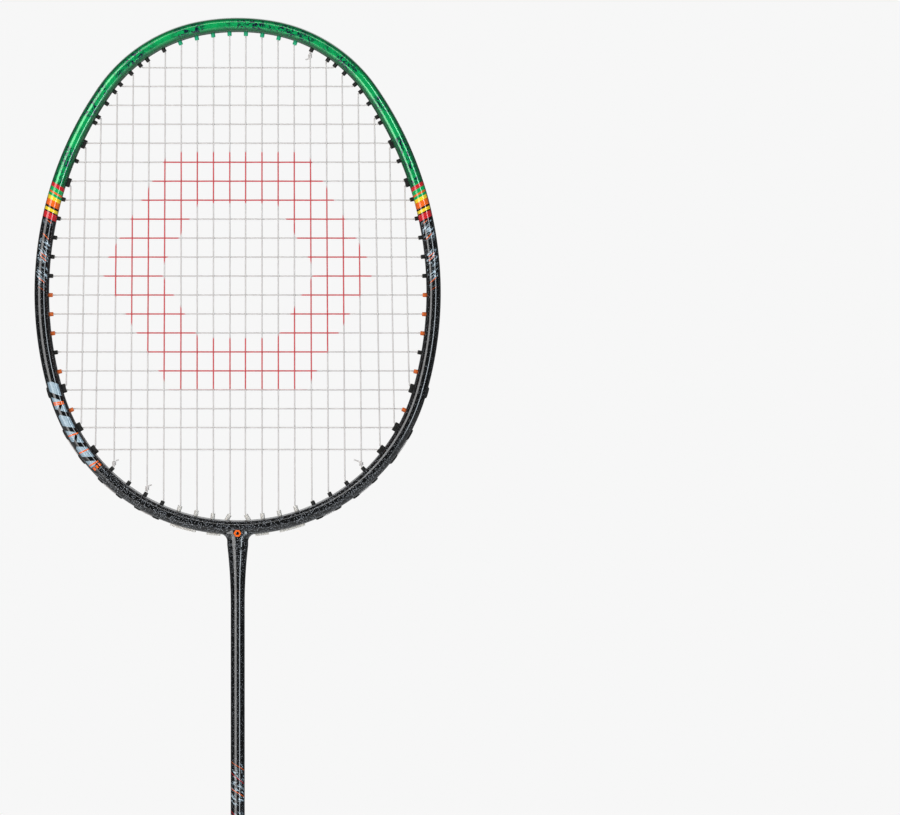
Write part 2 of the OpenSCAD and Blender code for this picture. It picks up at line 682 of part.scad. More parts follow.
head_frame();
t_joint();
t_joint_core();
shaft();
cone_cap();
handle_half_front();
handle_half_back();
butt_cap();
butt_badge();
butt_pins();
grip_wrap();
finishing_tape();
main_string();
cross_string();
grommets_top();
grommets_upper_left();
grommets_upper_right();
grommets_side_left();
grommets_side_right();
grommets_lower_left();
grommets_lower_right();
grommets_paired_left();
grommets_paired_right();
throat_grommets_left();
throat_grommets_right();
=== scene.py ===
"""The looks of the badminton racket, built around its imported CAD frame.

The racket stands on its butt end: +Z runs up the shaft, the string bed lies in the XZ plane and
the front face looks towards -Y. Lengths are in metres; MM turns millimetres into metres.
A place on the hoop is given by its run: the length along the outline from the crown, positive
on the right side and negative on the left.
"""

import functools
import math

import bpy
import numpy as np
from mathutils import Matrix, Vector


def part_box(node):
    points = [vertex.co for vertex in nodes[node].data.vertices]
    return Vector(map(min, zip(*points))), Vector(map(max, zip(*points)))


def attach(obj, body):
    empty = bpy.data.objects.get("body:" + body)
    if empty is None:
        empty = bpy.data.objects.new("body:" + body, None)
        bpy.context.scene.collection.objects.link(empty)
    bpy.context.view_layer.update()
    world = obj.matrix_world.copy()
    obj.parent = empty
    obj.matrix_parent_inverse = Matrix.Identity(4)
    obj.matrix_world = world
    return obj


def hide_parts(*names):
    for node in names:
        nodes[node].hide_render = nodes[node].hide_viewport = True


MM = 0.001
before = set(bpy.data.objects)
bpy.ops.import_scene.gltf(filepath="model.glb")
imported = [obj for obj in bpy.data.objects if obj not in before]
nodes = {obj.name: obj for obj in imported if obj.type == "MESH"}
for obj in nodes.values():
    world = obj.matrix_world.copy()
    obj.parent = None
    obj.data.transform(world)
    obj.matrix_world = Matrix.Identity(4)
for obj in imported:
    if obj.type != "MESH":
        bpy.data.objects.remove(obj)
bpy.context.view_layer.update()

# ---- The hoop's outline, the same five tangent arcs as in the CAD part ----

HEADINGS = [math.radians(h) for h in (0, 10, 55.4, 106.5, 170, 180)]
UPPER_RADII = [r * MM for r in (103, 77.1, 177.7, 94.6)]
RIM_T = 7.15 * MM
RIM_HALF_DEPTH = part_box("head_frame")[1].y
GROOVE_HALF_W = 1.6 * MM
GROOVE_DEPTH = 1.4 * MM
CROWN_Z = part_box("head_frame")[1].z


def normal(heading):
    """Outward normal of the outline, as (x, z)."""
    return np.array([math.sin(heading), math.cos(heading)])


def tangent(heading):
    return np.array([math.cos(heading), -math.sin(heading)])


def make_arcs():
    """The outline's arcs from crown to throat, as (run at its start, heading, radius, centre)."""
    spans = [
        r * (math.sin(b) - math.sin(a))
        for r, a, b in zip(UPPER_RADII, HEADINGS, HEADINGS[1:])
    ]
    radii = UPPER_RADII + [sum(spans) / math.sin(HEADINGS[4])]
    centre = np.array([0, CROWN_Z - radii[0]])
    run, arcs = 0.0, []
    for i, radius in enumerate(radii):
        if i:
            centre = centre + (radii[i - 1] - radius) * normal(HEADINGS[i])
        arcs.append((run, HEADINGS[i], radius, centre))
        run += radius * (HEADINGS[i + 1] - HEADINGS[i])
    return arcs, run


ARCS, HALF_RUN = make_arcs()
THROAT_R, THROAT_CENTRE = ARCS[4][2], ARCS[4][3]
HOOP_BOTTOM_Z = THROAT_CENTRE[1] - THROAT_R


def arc_at(run):
    return max((arc for arc in ARCS if arc[0] <= abs(run) + 1e-9), key=lambda arc: arc[0])


def heading_at(run):
    start, heading, radius, _ = arc_at(run)
    return heading + (abs(run) - start) / radius


def run_at(heading):
    """The run where the outline's normal has a heading, from 0 to pi."""
    start, first, radius, _ = max((a for a in ARCS if a[1] <= heading + 1e-9), key=lambda a: a[1])
    return start + (heading - first) * radius


def rim_point(run, depth, shift=0.0):
    """The point (x, z) at a depth inside the outline, shifted along the tangent."""
    _, _, radius, centre = arc_at(run)
    heading = heading_at(run)
    x, z = centre + (radius - depth) * normal(heading) + shift * tangent(heading)
    return np.array([x if run >= 0 else -x, z])


def solve(measure, low, high, target):
    """The run where a steadily changing measure meets its target."""
    rising = measure(high) > measure(low)
    for _ in range(50):
        middle = (low + high) / 2
        if (measure(middle) < target) == rising:
            low = middle
        else:
            high = middle
    return (low + high) / 2


# ---- Where the strings go through the hoop ----

STRING_R = 0.35 * MM
MAINS = 11
CROSSES = 21
FIRST_MAIN_X = 4 * MM
MAIN_PITCH_TOP = 8 * MM
MAIN_PITCH_BOTTOM = 8.2 * MM
FIRST_CROSS_Z = CROWN_Z - 23.5 * MM
CROSS_PITCH = 9.35 * MM
LAST_CROSS_DROP = 10.9 * MM
BARREL_OUT = 1.8 * MM
THROAT_BARREL_OUT = 2.6 * MM
THROAT_MAINS = 4
AIM_DEPTH = RIM_T + BARREL_OUT / 2
PAIR_GAP = 2.4 * MM
PAIRED_CROSSES = (5, 7, 18, 20, 21)
RUN_DEPTH = 0.42 * MM
LOW_RUN_DEPTH = -0.1 * MM
THROAT_RUN_DEPTH = -0.3 * MM
TIP_ROOM = 0.45 * MM
SIDE_RUN = run_at(math.pi / 2)


def cross_z(k):
    last = LAST_CROSS_DROP if k == CROSSES else 0
    return FIRST_CROSS_Z - CROSS_PITCH * (min(k, CROSSES - 1) - 1) - last


def site_for_cross(k):
    return solve(lambda run: rim_point(run, AIM_DEPTH)[1], 0, HALF_RUN, cross_z(k))


def site_for_x(x, low, high):
    return solve(lambda run: rim_point(run, AIM_DEPTH)[0], low, high, x)


def pair_site(p):
    """The middle of a paired grommet, which takes a cross and the end of an outer main."""
    run = site_for_cross(PAIRED_CROSSES[p])
    radius = arc_at(run)[2]
    away = 1 if p < 2 else -1
    return run + away * PAIR_GAP / 2 * radius / (radius - AIM_DEPTH)


def main_top(n):
    """The site (run, shift) of a main string's upper end."""
    if n < 10:
        return site_for_x(FIRST_MAIN_X + MAIN_PITCH_TOP * (n - 1), 0, SIDE_RUN), 0.0
    return pair_site(n - 10), PAIR_GAP / 2


def main_bottom(n):
    if n < 9:
        x = FIRST_MAIN_X + MAIN_PITCH_BOTTOM * (n - 1)
        return site_for_x(x, SIDE_RUN, HALF_RUN), 0.0
    return pair_site(13 - n), -PAIR_GAP / 2


def cross_end(k):
    if k in PAIRED_CROSSES:
        p = PAIRED_CROSSES.index(k)
        return pair_site(p), (-PAIR_GAP / 2 if p < 2 else PAIR_GAP / 2)
    return site_for_cross(k), 0.0


TOP = {n: main_top(n) for n in range(1, MAINS + 1)}
BOTTOM = {n: main_bottom(n) for n in range(1, MAINS + 1)}
CROSS = {k: cross_end(k) for k in range(1, CROSSES + 1)}
LEAN_HEADING = math.radians(150)

# ---- Mesh helpers ----


def link(name, data):
    """A new object in the scene."""
    made = bpy.data.objects.new(name, data)
    bpy.context.scene.collection.objects.link(made)
    return made


def add_piece(name, mesh, material, node):
    """Links a finished mesh as a piece that rides on the racket's one body and replaces a node."""
    piece = link(name, mesh)
    mesh.materials.append(material)
    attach(piece, "root")
    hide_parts(node)


def shade(mesh, sharp_degrees):
    mesh.polygons.foreach_set("use_smooth", [True] * len(mesh.polygons))
    mesh.set_sharp_from_angle(angle=math.radians(sharp_degrees))
    mesh.update()


def set_attribute(mesh, name, values):
    attribute = mesh.attributes.new(name, "FLOAT", "POINT")
    attribute.data.foreach_set("value", np.asarray(values, np.float32).ravel())


def circle(count):
    """Evenly spaced angles, once round."""
    return np.linspace(0, 2 * math.pi, count, endpoint=False)


def grid_faces(rows, columns, ring=False):
    """Faces round a grid of points stored row by row. The last row joins the first in a ring,
    and otherwise a cap closes each of the two."""
    r = np.arange(rows if ring else rows - 1)
    r, c = (part.ravel() for part in np.meshgrid(r, np.arange(columns), indexing="ij"))
    r1, c1 = (r + 1) % rows, (c + 1) % columns
    quads = [r * columns + c, r * columns + c1, r1 * columns + c1, r1 * columns + c]
    faces = np.stack(quads, 1).tolist()
    if not ring:
        faces.append(list(reversed(range(columns))))
        faces.append([(rows - 1) * columns + i for i in range(columns)])
    return faces


def outward(mesh):
    """Turns the faces so that the closed mesh holds a positive volume."""
    mesh.calc_loop_triangles()
    co = np.array([v.co for v in mesh.vertices])
    a, b, c = (co[[t.vertices[i] for t in mesh.loop_triangles]] for i in range(3))
    if np.einsum("ij,ij->i", a, np.cross(b, c)).sum() < 0:
        mesh.flip_normals()


def grid_piece(name, points, material, slot, node, sharp_degrees=38, ring=False, **attributes):
    """A closed piece over a (rows, columns, 3) grid of points, with values that its paint reads."""
    points = np.array(points)
    rows, columns, _ = points.shape
    mesh = bpy.data.meshes.new(name)
    mesh.from_pydata(points.reshape(-1, 3).tolist(), [], grid_faces(rows, columns, ring))
    outward(mesh)
    for label, values in attributes.items():
        set_attribute(mesh, label, values)
    shade(mesh, sharp_degrees)
    add_piece(name, mesh, material, node)


def turned(radius, angles, z):
    """Points round the racket's axis; angle 0 is in front and a quarter turn is on the right."""
    return np.column_stack([radius * np.sin(angles), -radius * np.cos(angles), z + 0 * angles])


def tube(path, radius, sides=10):
    """Points of a round tube along a path, on frames carried along it without twist."""
    path = np.asarray(path, float)
    ahead = np.gradient(path, axis=0)
    ahead /= np.linalg.norm(ahead, axis=1)[:, None]
    side = np.cross(ahead[0], [0.3, 1, 0.2])
    c, s = (ratio(circle(sides))[:, None] for ratio in (np.cos, np.sin))
    rings = []
    for point, forward in zip(path, ahead):
        side = side - forward * (side @ forward)
        side /= np.linalg.norm(side)
        rings.append(point + radius * (c * side + s * np.cross(forward, side)))
    return np.array(rings)


def round_corners(path, cut, steps=6):
    """A path whose corners sharper than 30 degrees are rounded, starting a cut away from each."""
    path = [np.asarray(p, float) for p in path]
    out = [path[0]]
    for before, here, after in zip(path, path[1:], path[2:]):
        into, away = here - before, after - here
        cosine = into @ away / (np.linalg.norm(into) * np.linalg.norm(away))
        if cosine > math.cos(math.radians(30)):
            out.append(here)
            continue
        start = here - into * min(0.45, cut / np.linalg.norm(into))
        end = here + away * min(0.45, cut / np.linalg.norm(away))
        for t in np.linspace(0, 1, steps):
            out.append((1 - t) ** 2 * start + 2 * t * (1 - t) * here + t**2 * end)
    return np.array(out + [path[-1]])


# ---- Material helpers ----


class Paint:
    """A material built by short calls. Each call gives back a socket or takes one as its input."""

    def __init__(self, name, settings):
        self.material = bpy.data.materials.new(name)
        self.material.use_nodes = True
        self.tree = self.material.node_tree
        self.shader = self.tree.nodes["Principled BSDF"]
        for label, value in settings.items():
            self.plug(self.shader.inputs[label], value)
        metres = self.call("TexCoord", "Object")
        self.place = self.call("VectorMath", 0, {0: metres, "Scale": 1 / MM}, operation="SCALE")

    def call(self, kind, output, values=(), **fields):
        """Adds a node, sets its inputs from a list or by label, and gives back one output."""
        made = self.tree.nodes.new("ShaderNode" + kind)
        for field, value in fields.items():
            setattr(made, field, value)
        for label, value in values.items() if isinstance(values, dict) else enumerate(values):
            self.plug(made.inputs[label], value)
        return made.outputs[output]

    def plug(self, socket, value):
        if isinstance(value, bpy.types.NodeSocket):
            self.tree.links.new(value, socket)
        elif isinstance(value, tuple) and len(value) == 3 and socket.type == "RGBA":
            socket.default_value = (*value, 1)
        else:
            socket.default_value = value

    def math(self, operation, *values):
        return self.call("Math", 0, values, operation=operation)

    def step(self, value, low, high, start=0.0, end=1.0):
        """Start below low, end above high, and a smooth change between them."""
        return self.call("MapRange", "Result", {"Value": value, "From Min": low, "From Max": high,
                                                "To Min": start, "To Max": end},
                         interpolation_type="SMOOTHSTEP")

    def band(self, value, low, high, soft):
        """1 between low and high, and 0 outside them."""
        rise = self.step(value, low - soft, low + soft)
        return self.math("MULTIPLY", rise, self.step(value, high - soft, high + soft, 1.0, 0.0))

    def all_of(self, *masks):
        return functools.reduce(lambda a, b: self.math("MULTIPLY", a, b), masks)

    def any_of(self, *masks):
        return functools.reduce(lambda a, b: self.math("MAXIMUM", a, b), masks)

    def mix(self, factor, below, above):
        return self.call("Mix", 2, {0: factor, 6: below, 7: above}, data_type="RGBA")

    def noise(self, vector, scale, detail=2.0, roughness=0.5, distortion=0.0):
        return self.call("TexNoise", "Fac", {"Vector": vector, "Scale": scale, "Detail": detail,
                                             "Roughness": roughness, "Distortion": distortion})

    def cells(self, vector, scale):
        """Distance to the nearest of many scattered points."""
        return self.call("TexVoronoi", "Distance", {"Vector": vector, "Scale": scale})

    def vector(self, x, y, z):
        return self.call("CombineXYZ", 0, (x, y, z))

    def axes(self):
        """The place on the object in millimetres, as three sockets."""
        return list(self.call("SeparateXYZ", 0, [self.place]).node.outputs)

    def attribute(self, name):
        return self.call("Attribute", "Fac", attribute_name=name)

    def mottle(self, scale, detail, dark, light):
        """A colour that drifts between two."""
        return self.mix(self.noise(self.place, scale, detail), dark, light)

    def drift(self, scale, detail, low, high):
        """A roughness that drifts between two values."""
        return self.step(self.noise(self.place, scale, detail), 0.3, 0.7, low, high)

    def bump(self, height, strength, distance):
        """Fine relief; distance is its depth in millimetres."""
        normal = self.call("Bump", "Normal", {"Height": height, "Strength": strength,
                                              "Distance": distance * MM})
        self.plug(self.shader.inputs["Normal"], normal)

    def done(self, colour, roughness=None, metallic=None):
        for label, value in (("Base Color", colour), ("Roughness", roughness),
                             ("Metallic", metallic)):
            if value is not None:
                self.plug(self.shader.inputs[label], value)
        return self.material


BLACK = (0.001, 0.001, 0.0011)
SPECKLE = (0.27, 0.28, 0.3)
GREEN = (0.0, 0.37, 0.09)
BRIGHT_GREEN = (0.01, 0.4, 0.14)
# Painted shade: the deep green at both edges of the crown's tube
GREEN_EDGE_SHADE = (0.0, 0.07, 0.022)
NAVY = (0.002, 0.01, 0.03)
SILVER_BLUE = (0.25, 0.34, 0.4)
# Painted highlight: the lighter tint along the middle of the barred panel
PANEL_PAINTED_HIGHLIGHT = (0.38, 0.47, 0.52)
PALE_SILVER = (0.52, 0.62, 0.68)
WHITE = (0.75, 0.78, 0.8)
ORANGE = (0.85, 0.13, 0.01)
YELLOW = (0.85, 0.6, 0.02)
RED = (0.55, 0.015, 0.02)
LACQUER = {"Coat Weight": 1.0, "Coat Roughness": 0.04, "Coat IOR": 1.6, "Roughness": 0.3,
           "Specular IOR Level": 0.06}

# The stripes across each shoulder, from the top down: width in millimetres and colour
STRIPES = ((2.0, RED), (2.1, GREEN), (0.9, ORANGE), (1.4, GREEN), (1.9, YELLOW), (3.0, ORANGE),
           (1.0, BLACK), (1.6, YELLOW), (0.6, BLACK), (3.1, RED), (0.8, BLACK))
STRIPE_SLANT = 0.25

# Where the paint changes, in millimetres along the hoop from the crown, or up the racket
STRIPES_RUN = 130.8
HOOP_BRUSHED = (148.0, 183.0)
BAR_PANEL = (231.0, 279.0)
BEADS = (279.5, 281.2)
SPECKLED_LOW = (255.0, 290.0)
SHAFT_BRUSHED = (232.0, 312.0)
SHAFT_BLOCK = (266.5, 272.0)
SHAFT_CHIP = (273.5, 275.5)
THROAT_SPECKLED = (395.0, 420.0)
SHAFT_PAINT_R = 3.43
# Moves the pattern of the right side away from that of the left side
RIGHT_SHIFT = 417.0


def speckled_black(paint, vector, dense):
    """Black lacquer with silver flakes; dense is from 0 to 1."""
    distance = paint.cells(vector, 1.6)
    reach = paint.math("MULTIPLY_ADD", dense, 0.1, 0.155)
    flakes = paint.step(distance, reach, paint.math("ADD", reach, 0.06), 1.0, 0.0)
    return paint.mix(flakes, BLACK, SPECKLE)


def brush_strokes(paint, along, across, coverage):
    """A dry brush mask: slanting streaks, more of them where coverage is higher."""
    slanted = paint.math("MULTIPLY_ADD", across, 1.1, along)
    streak = paint.vector(paint.math("MULTIPLY", slanted, 0.22),
                          paint.math("MULTIPLY", paint.math("SUBTRACT", across, along), 0.75), 3.0)
    grain = paint.noise(streak, 1.0, 4.0, 0.7, 0.25)
    edge = paint.math("MULTIPLY_ADD", coverage, -0.3, 0.68)
    return paint.step(grain, edge, paint.math("ADD", edge, 0.025))


def slanting_lines(paint, along, across, pitch, width, slant, phase):
    """Thin slanting lines a pitch apart along the piece."""
    slanted = paint.math("MULTIPLY_ADD", across, slant, paint.math("ADD", along, phase))
    place = paint.math("MULTIPLY", paint.math("FRACT", paint.math("DIVIDE", slanted, pitch)), pitch)
    return paint.band(place, 1.0, 1.0 + width, 0.12)


def hexagon(paint, x, z, centre_z, outer, inner):
    """A plain hexagonal ring on the middle line, as a generic mark."""
    dx = paint.math("ABSOLUTE", x)
    dz = paint.math("ABSOLUTE", paint.math("SUBTRACT", z, centre_z))
    corner = paint.math("ADD", paint.math("MULTIPLY", dx, 0.866), paint.math("MULTIPLY", dz, 0.5))
    return paint.band(paint.math("MAXIMUM", corner, dz), inner, outer, 0.01 * outer)


def throat_mark(paint, x, y, z):
    """The small mark where the hoop meets the throat, on both faces."""
    face = paint.step(paint.math("ABSOLUTE", y), 2.0, 3.0)
    return paint.all_of(hexagon(paint, x, z, HOOP_BOTTOM_Z / MM + 0.8, 1.6, 0.8), face)


def crown_green(paint, flat, shifted, across):
    """Metallic green, darkened towards both edges of the tube as painted shade, with navy brush marks
    in clusters.
    """
    # Painted shade: deep green towards both edges of the tube, full green across its middle
    green = paint.mix(paint.band(across, 1.5, 5.3, 1.3), GREEN_EDGE_SHADE, GREEN)
    flake = paint.step(paint.noise(flat, 3.0, 2.0, 0.7), 0.3, 0.8, 0.0, 0.3)
    green = paint.mix(flake, green, BRIGHT_GREEN)
    cluster = paint.step(paint.noise(paint.vector(shifted, 7.0, 0.0), 0.06, 1.0), 0.42, 0.5)
    curls = paint.noise(paint.vector(paint.math("MULTIPLY", shifted, 0.55), across, 7.0), 0.75, 3.0,
                        0.6, 1.6)
    inked = paint.all_of(paint.step(curls, 0.5, 0.53), cluster, paint.band(across, 1.2, 5.8, 0.3))
    return paint.mix(inked, green, NAVY)


def brushed_side(paint, black, flat, along, shifted, across):
    """Silver-blue brush work and orange hairlines over the black below the stripes."""
    zone = paint.band(along, *HOOP_BRUSHED, 5.0)
    strokes = brush_strokes(paint, shifted, across, paint.math("MULTIPLY", zone, 0.48))
    clusters = paint.step(paint.noise(paint.vector(shifted, 3.0, 0.0), 0.14, 1.0), 0.36, 0.5)
    strokes = paint.all_of(strokes, clusters, zone, paint.band(across, 0.9, 6.3, 0.3))
    silver = paint.mix(paint.noise(flat, 0.45, 2.0), SILVER_BLUE, PALE_SILVER)
    hairlines = paint.any_of(slanting_lines(paint, along, across, 11.0, 0.4, -0.8, 0.0),
                             slanting_lines(paint, along, across, 17.0, 0.35, -0.6, 6.0))
    hairlines = paint.all_of(hairlines, zone, paint.band(across, 2.2, 5.2, 0.3))
    return paint.mix(hairlines, paint.mix(strokes, black, silver), ORANGE)


def barred_panel(paint, body, left, along, across):
    """Slanting bars on the left side above the speckled bottom, with a painted highlight along their
    middle and a row of beads under them.
    """
    bars = paint.any_of(slanting_lines(paint, along, across, 9.0, 2.7, -0.75, 0.0),
                        slanting_lines(paint, along, across, 18.0, 2.2, 1.3, 5.0))
    accents = paint.any_of(slanting_lines(paint, along, across, 18.0, 0.75, -0.2, 12.0),
                           slanting_lines(paint, along, across, 27.0, 0.7, -0.2, 2.0))
    # Painted highlight: a lighter band along the middle of the tube
    tint = paint.mix(paint.band(across, 3.2, 4.2, 0.5), SILVER_BLUE, PANEL_PAINTED_HIGHLIGHT)
    tint = paint.mix(accents, paint.mix(bars, tint, BLACK), ORANGE)
    panel = paint.all_of(left, paint.band(along, *BAR_PANEL, 0.4),
                         paint.band(across, 1.0, 5.9, 0.15))
    row = paint.math("PINGPONG", paint.math("SUBTRACT", across, 1.9), 0.85)
    beads = paint.all_of(left, paint.band(along, *BEADS, 0.2), paint.band(row, 0.0, 0.5, 0.1),
                         paint.band(across, 1.4, 6.0, 0.2))
    return paint.mix(beads, paint.mix(panel, body, tint), ORANGE)


def hoop_paint():
    """Metallic green crown, striped shoulders, brushed sides and a speckled black bottom."""
    paint = Paint("hoop_paint", LACQUER)
    x, y, z = paint.axes()
    along = paint.attribute("along")
    across = paint.attribute("across")
    right = paint.math("GREATER_THAN", x, 0.0)
    left = paint.math("SUBTRACT", 1.0, right)
    shifted = paint.math("MULTIPLY_ADD", right, RIGHT_SHIFT, along)
    flat = paint.vector(shifted, across, paint.math("MULTIPLY", y, 0.8))
    green = crown_green(paint, flat, shifted, across)
    body = speckled_black(paint, flat, paint.step(along, *SPECKLED_LOW))
    body = brushed_side(paint, body, flat, along, shifted, across)
    body = barred_panel(paint, body, left, along, across)

    # Crown green above the stripes, body below them
    slanted = paint.math("MULTIPLY_ADD", across, -STRIPE_SLANT, along)
    colour = paint.mix(paint.step(slanted, STRIPES_RUN - 0.15, STRIPES_RUN + 0.15), green, body)
    edge = STRIPES_RUN
    for width, stripe in STRIPES:
        colour = paint.mix(paint.band(slanted, edge, edge + width, 0.12), colour, stripe)
        edge += width

    # The groove and a thin line beside it stay black
    colour = paint.mix(paint.step(across, 0.28, 0.5, 1.0, 0.0), colour, BLACK)
    colour = paint.mix(throat_mark(paint, x, y, z), colour, ORANGE)
    metallic = paint.step(slanted, STRIPES_RUN - 0.2, STRIPES_RUN, 0.35, 0.0)
    roughness = paint.step(paint.noise(flat, 0.6, 3.0), 0.3, 0.8, 0.24, 0.34)
    paint.bump(paint.noise(flat, 1.6, 3.0, 0.6), 0.05, 0.02)
    return paint.done(colour, roughness, metallic)


def throat_paint():
    """Speckled black with the mark that it shares with the hoop."""
    paint = Paint("throat_paint", LACQUER)
    x, y, z = paint.axes()
    colour = speckled_black(paint, paint.place, paint.step(z, *THROAT_SPECKLED, 0.2, 0.9))
    colour = paint.mix(throat_mark(paint, x, y, z), colour, ORANGE)
    paint.bump(paint.noise(paint.place, 1.6, 3.0, 0.6), 0.05, 0.02)
    return paint.done(colour)


def shaft_paint():
    """Gloss black with brushed silver-blue over the middle and slanting hairlines."""
    paint = Paint("shaft_paint", LACQUER)
    x, y, z = paint.axes()
    turn = paint.math("ARCTAN2", x, paint.math("ABSOLUTE", y))
    across = paint.math("MULTIPLY", turn, SHAFT_PAINT_R)
    near = paint.step(paint.math("ABSOLUTE", across), 3.6, 4.4, 1.0, 0.0)
    zone = paint.band(z, *SHAFT_BRUSHED, 9.0)
    strokes = brush_strokes(paint, paint.math("MULTIPLY", z, -1.0), across,
                            paint.math("MULTIPLY", zone, 0.44))
    clusters = paint.step(paint.noise(paint.vector(0.0, 5.0, z), 0.14, 1.0), 0.4, 0.52)
    silver = paint.mottle(0.45, 2.0, SILVER_BLUE, PALE_SILVER)
    colour = paint.mix(paint.all_of(strokes, clusters, zone, near),
                       speckled_black(paint, paint.place, 0.25), silver)
    for slant, bounds in ((0.35, SHAFT_BLOCK), (0.8, SHAFT_CHIP)):
        slanted = paint.math("MULTIPLY_ADD", across, slant, z)
        colour = paint.mix(paint.all_of(paint.band(slanted, *bounds, 0.25), near), colour, WHITE)
    for pitch, slant, phase, ink in ((13.0, 0.55, 4.0, ORANGE), (19.0, 0.75, 2.0, RED)):
        lines = slanting_lines(paint, z, across, pitch, 0.3, slant, phase)
        colour = paint.mix(paint.all_of(lines, zone, near), colour, ink)
    paint.bump(paint.noise(paint.place, 1.2, 3.0, 0.6), 0.05, 0.02)
    return paint.done(colour)


def cone_paint():
    """Speckled black with a generic mark of a ring and three bars in front."""
    paint = Paint("cone_plastic", {"Coat Weight": 0.8, "Coat Roughness": 0.06,
                                   "Roughness": 0.32, "Specular IOR Level": 0.5})
    x, y, z = paint.axes()
    front = paint.step(y, -1.0, -0.5, 1.0, 0.0)
    width = paint.band(x, -1.5, 1.5, 0.08)
    bars = paint.any_of(*[paint.band(z, low, low + 1.6, 0.08) for low in (180.0, 176.6, 173.2)])
    marks = paint.any_of(hexagon(paint, x, z, 186.0, 2.0, 1.1), paint.all_of(width, bars))
    colour = paint.mix(paint.all_of(marks, front), speckled_black(paint, paint.place, 0.3), ORANGE)
    paint.bump(paint.noise(paint.place, 1.4, 3.0, 0.6), 0.06, 0.02)
    return paint.done(colour)


def string_paint():
    """White nylon with fine filaments, and a plain red hexagon stencilled over the bed."""
    paint = Paint("string_nylon", {"Specular IOR Level": 0.45})
    x, _, z = paint.axes()
    middle = (cross_z(CROSSES) + FIRST_CROSS_Z) / 2 / MM - 6
    worn = paint.step(paint.noise(paint.place, 0.9, 2.0), 0.2, 0.5, 0.75, 0.97)
    stencil = paint.all_of(hexagon(paint, x, z, middle, 58.0, 33.0), worn)
    white = paint.mottle(0.5, 2.0, (0.53, 0.49, 0.47), (0.6, 0.565, 0.545))
    paint.bump(paint.noise(paint.place, 6.0, 2.0), 0.25, 0.03)
    return paint.done(paint.mix(stencil, white, (0.56, 0.03, 0.04)), paint.drift(0.8, 2.0, 0.38, 0.52))


def moulded(name, dark, light, settings, mottle, drift, grain, tip=None):
    """Moulded plastic: a slight mottle, a drifting roughness and a fine grain, each as (scale,
    detail, ...). The tip colour is a painted highlight on the cut ends of barrels."""
    paint = Paint(name, settings)
    colour = paint.mottle(*mottle, dark, light)
    if tip:
        # Painted highlight on the cut ends of barrels, where the tip attribute is 1
        colour = paint.mix(paint.attribute("tip"), colour, tip)
    scale, detail, strength, depth = grain
    paint.bump(paint.noise(paint.place, scale, detail), strength, depth)
    return paint.done(colour, paint.drift(*drift))


def moulded_core(name, dark, light):
    return moulded(name, dark, light, {"Specular IOR Level": 0.5}, (0.35, 3.0),
                   (1.2, 3.0, 0.38, 0.52), (3.6, 2.0, 0.12, 0.04))


def grommet_paint(name, dark, light, tip):
    return moulded(name, dark, light, {"Specular IOR Level": 0.2}, (0.5, 2.0),
                   (1.5, 2.0, 0.34, 0.46), (3.0, 2.0, 0.1, 0.03), tip)


def clear_nylon():
    settings = {"Transmission Weight": 0.5, "IOR": 1.5, "Specular IOR Level": 0.5}
    return moulded("clear_nylon", (0.82, 0.77, 0.7), (0.93, 0.9, 0.86), settings, (0.6, 2.0),
                   (1.1, 2.0, 0.2, 0.34), (1.5, 2.0, 0.1, 0.04))


def grip_paint():
    """Matt polyurethane: a fine grain, a faint long mottle and perforations darkened with painted
    shade.
    """
    paint = Paint("grip_polyurethane", {"Specular IOR Level": 0.4, "Sheen Weight": 0.15,
                                        "Sheen Roughness": 0.4})
    colour = paint.mottle(0.12, 3.0, (0.016, 0.0165, 0.018), (0.03, 0.03, 0.031))
    # Painted shade inside the perforations
    colour = paint.mix(paint.attribute("hollow"), colour, (0.006, 0.006, 0.007))
    height = paint.math("ADD", paint.noise(paint.place, 2.6, 4.0, 0.6),
                        paint.math("MULTIPLY", paint.cells(paint.place, 2.2), 0.6))
    paint.bump(height, 0.3, 0.06)
    return paint.done(colour, paint.drift(0.5, 3.0, 0.42, 0.6))


def tape_paint():
    """Elastic tape, with a texture drawn out along the handle."""
    paint = Paint("finishing_tape", {"Specular IOR Level": 0.45, "Sheen Weight": 0.1})
    x, y, z = paint.axes()
    drawn = paint.vector(x, y, paint.math("MULTIPLY", z, 0.3))
    colour = paint.mix(paint.noise(drawn, 0.4, 3.0), (0.022, 0.0245, 0.029), (0.04, 0.044, 0.05))
    roughness = paint.step(paint.noise(drawn, 0.7, 3.0), 0.3, 0.7, 0.36, 0.5)
    paint.bump(paint.noise(drawn, 1.1, 4.0, 0.6), 0.3, 0.1)
    return paint.done(colour, roughness)


def handle_wood():
    """Light hardwood with its grain along the handle."""
    paint = Paint("handle_wood", {"Specular IOR Level": 0.4})
    x, y, z = paint.axes()
    long_grain = paint.vector(x, y, paint.math("MULTIPLY", z, 0.06))
    ring = paint.noise(long_grain, 0.5, 4.0, 0.6, 0.4)
    pores = paint.noise(long_grain, 4.0, 3.0)
    colour = paint.mix(paint.step(ring, 0.35, 0.65), (0.33, 0.2, 0.1), (0.58, 0.4, 0.22))
    colour = paint.mix(paint.step(pores, 0.6, 0.72, 0.0, 0.5), colour, (0.18, 0.1, 0.05))
    paint.bump(pores, 0.25, 0.1)
    return paint.done(colour, paint.step(ring, 0.3, 0.7, 0.5, 0.65))


def brushed_metal(name, tint):
    paint = Paint(name, {"Metallic": 1.0})
    x, y, z = paint.axes()
    grain = paint.noise(paint.vector(paint.math("MULTIPLY", x, 0.1), y, z), 6.0, 3.0)
    colour = paint.mix(grain, tuple(0.8 * c for c in tint), tint)
    paint.bump(grain, 0.15, 0.02)
    return paint.done(colour, paint.step(grain, 0.3, 0.7, 0.22, 0.36))


# ---- Hoop and throat ----

SECTION_POWER = 2.45
SECTION_STEPS = 60
RING_STEP = 1.2 * MM
GROOVE_END_RUN = HALF_RUN - 15 * MM
GROOVE_FADE = 2 * MM


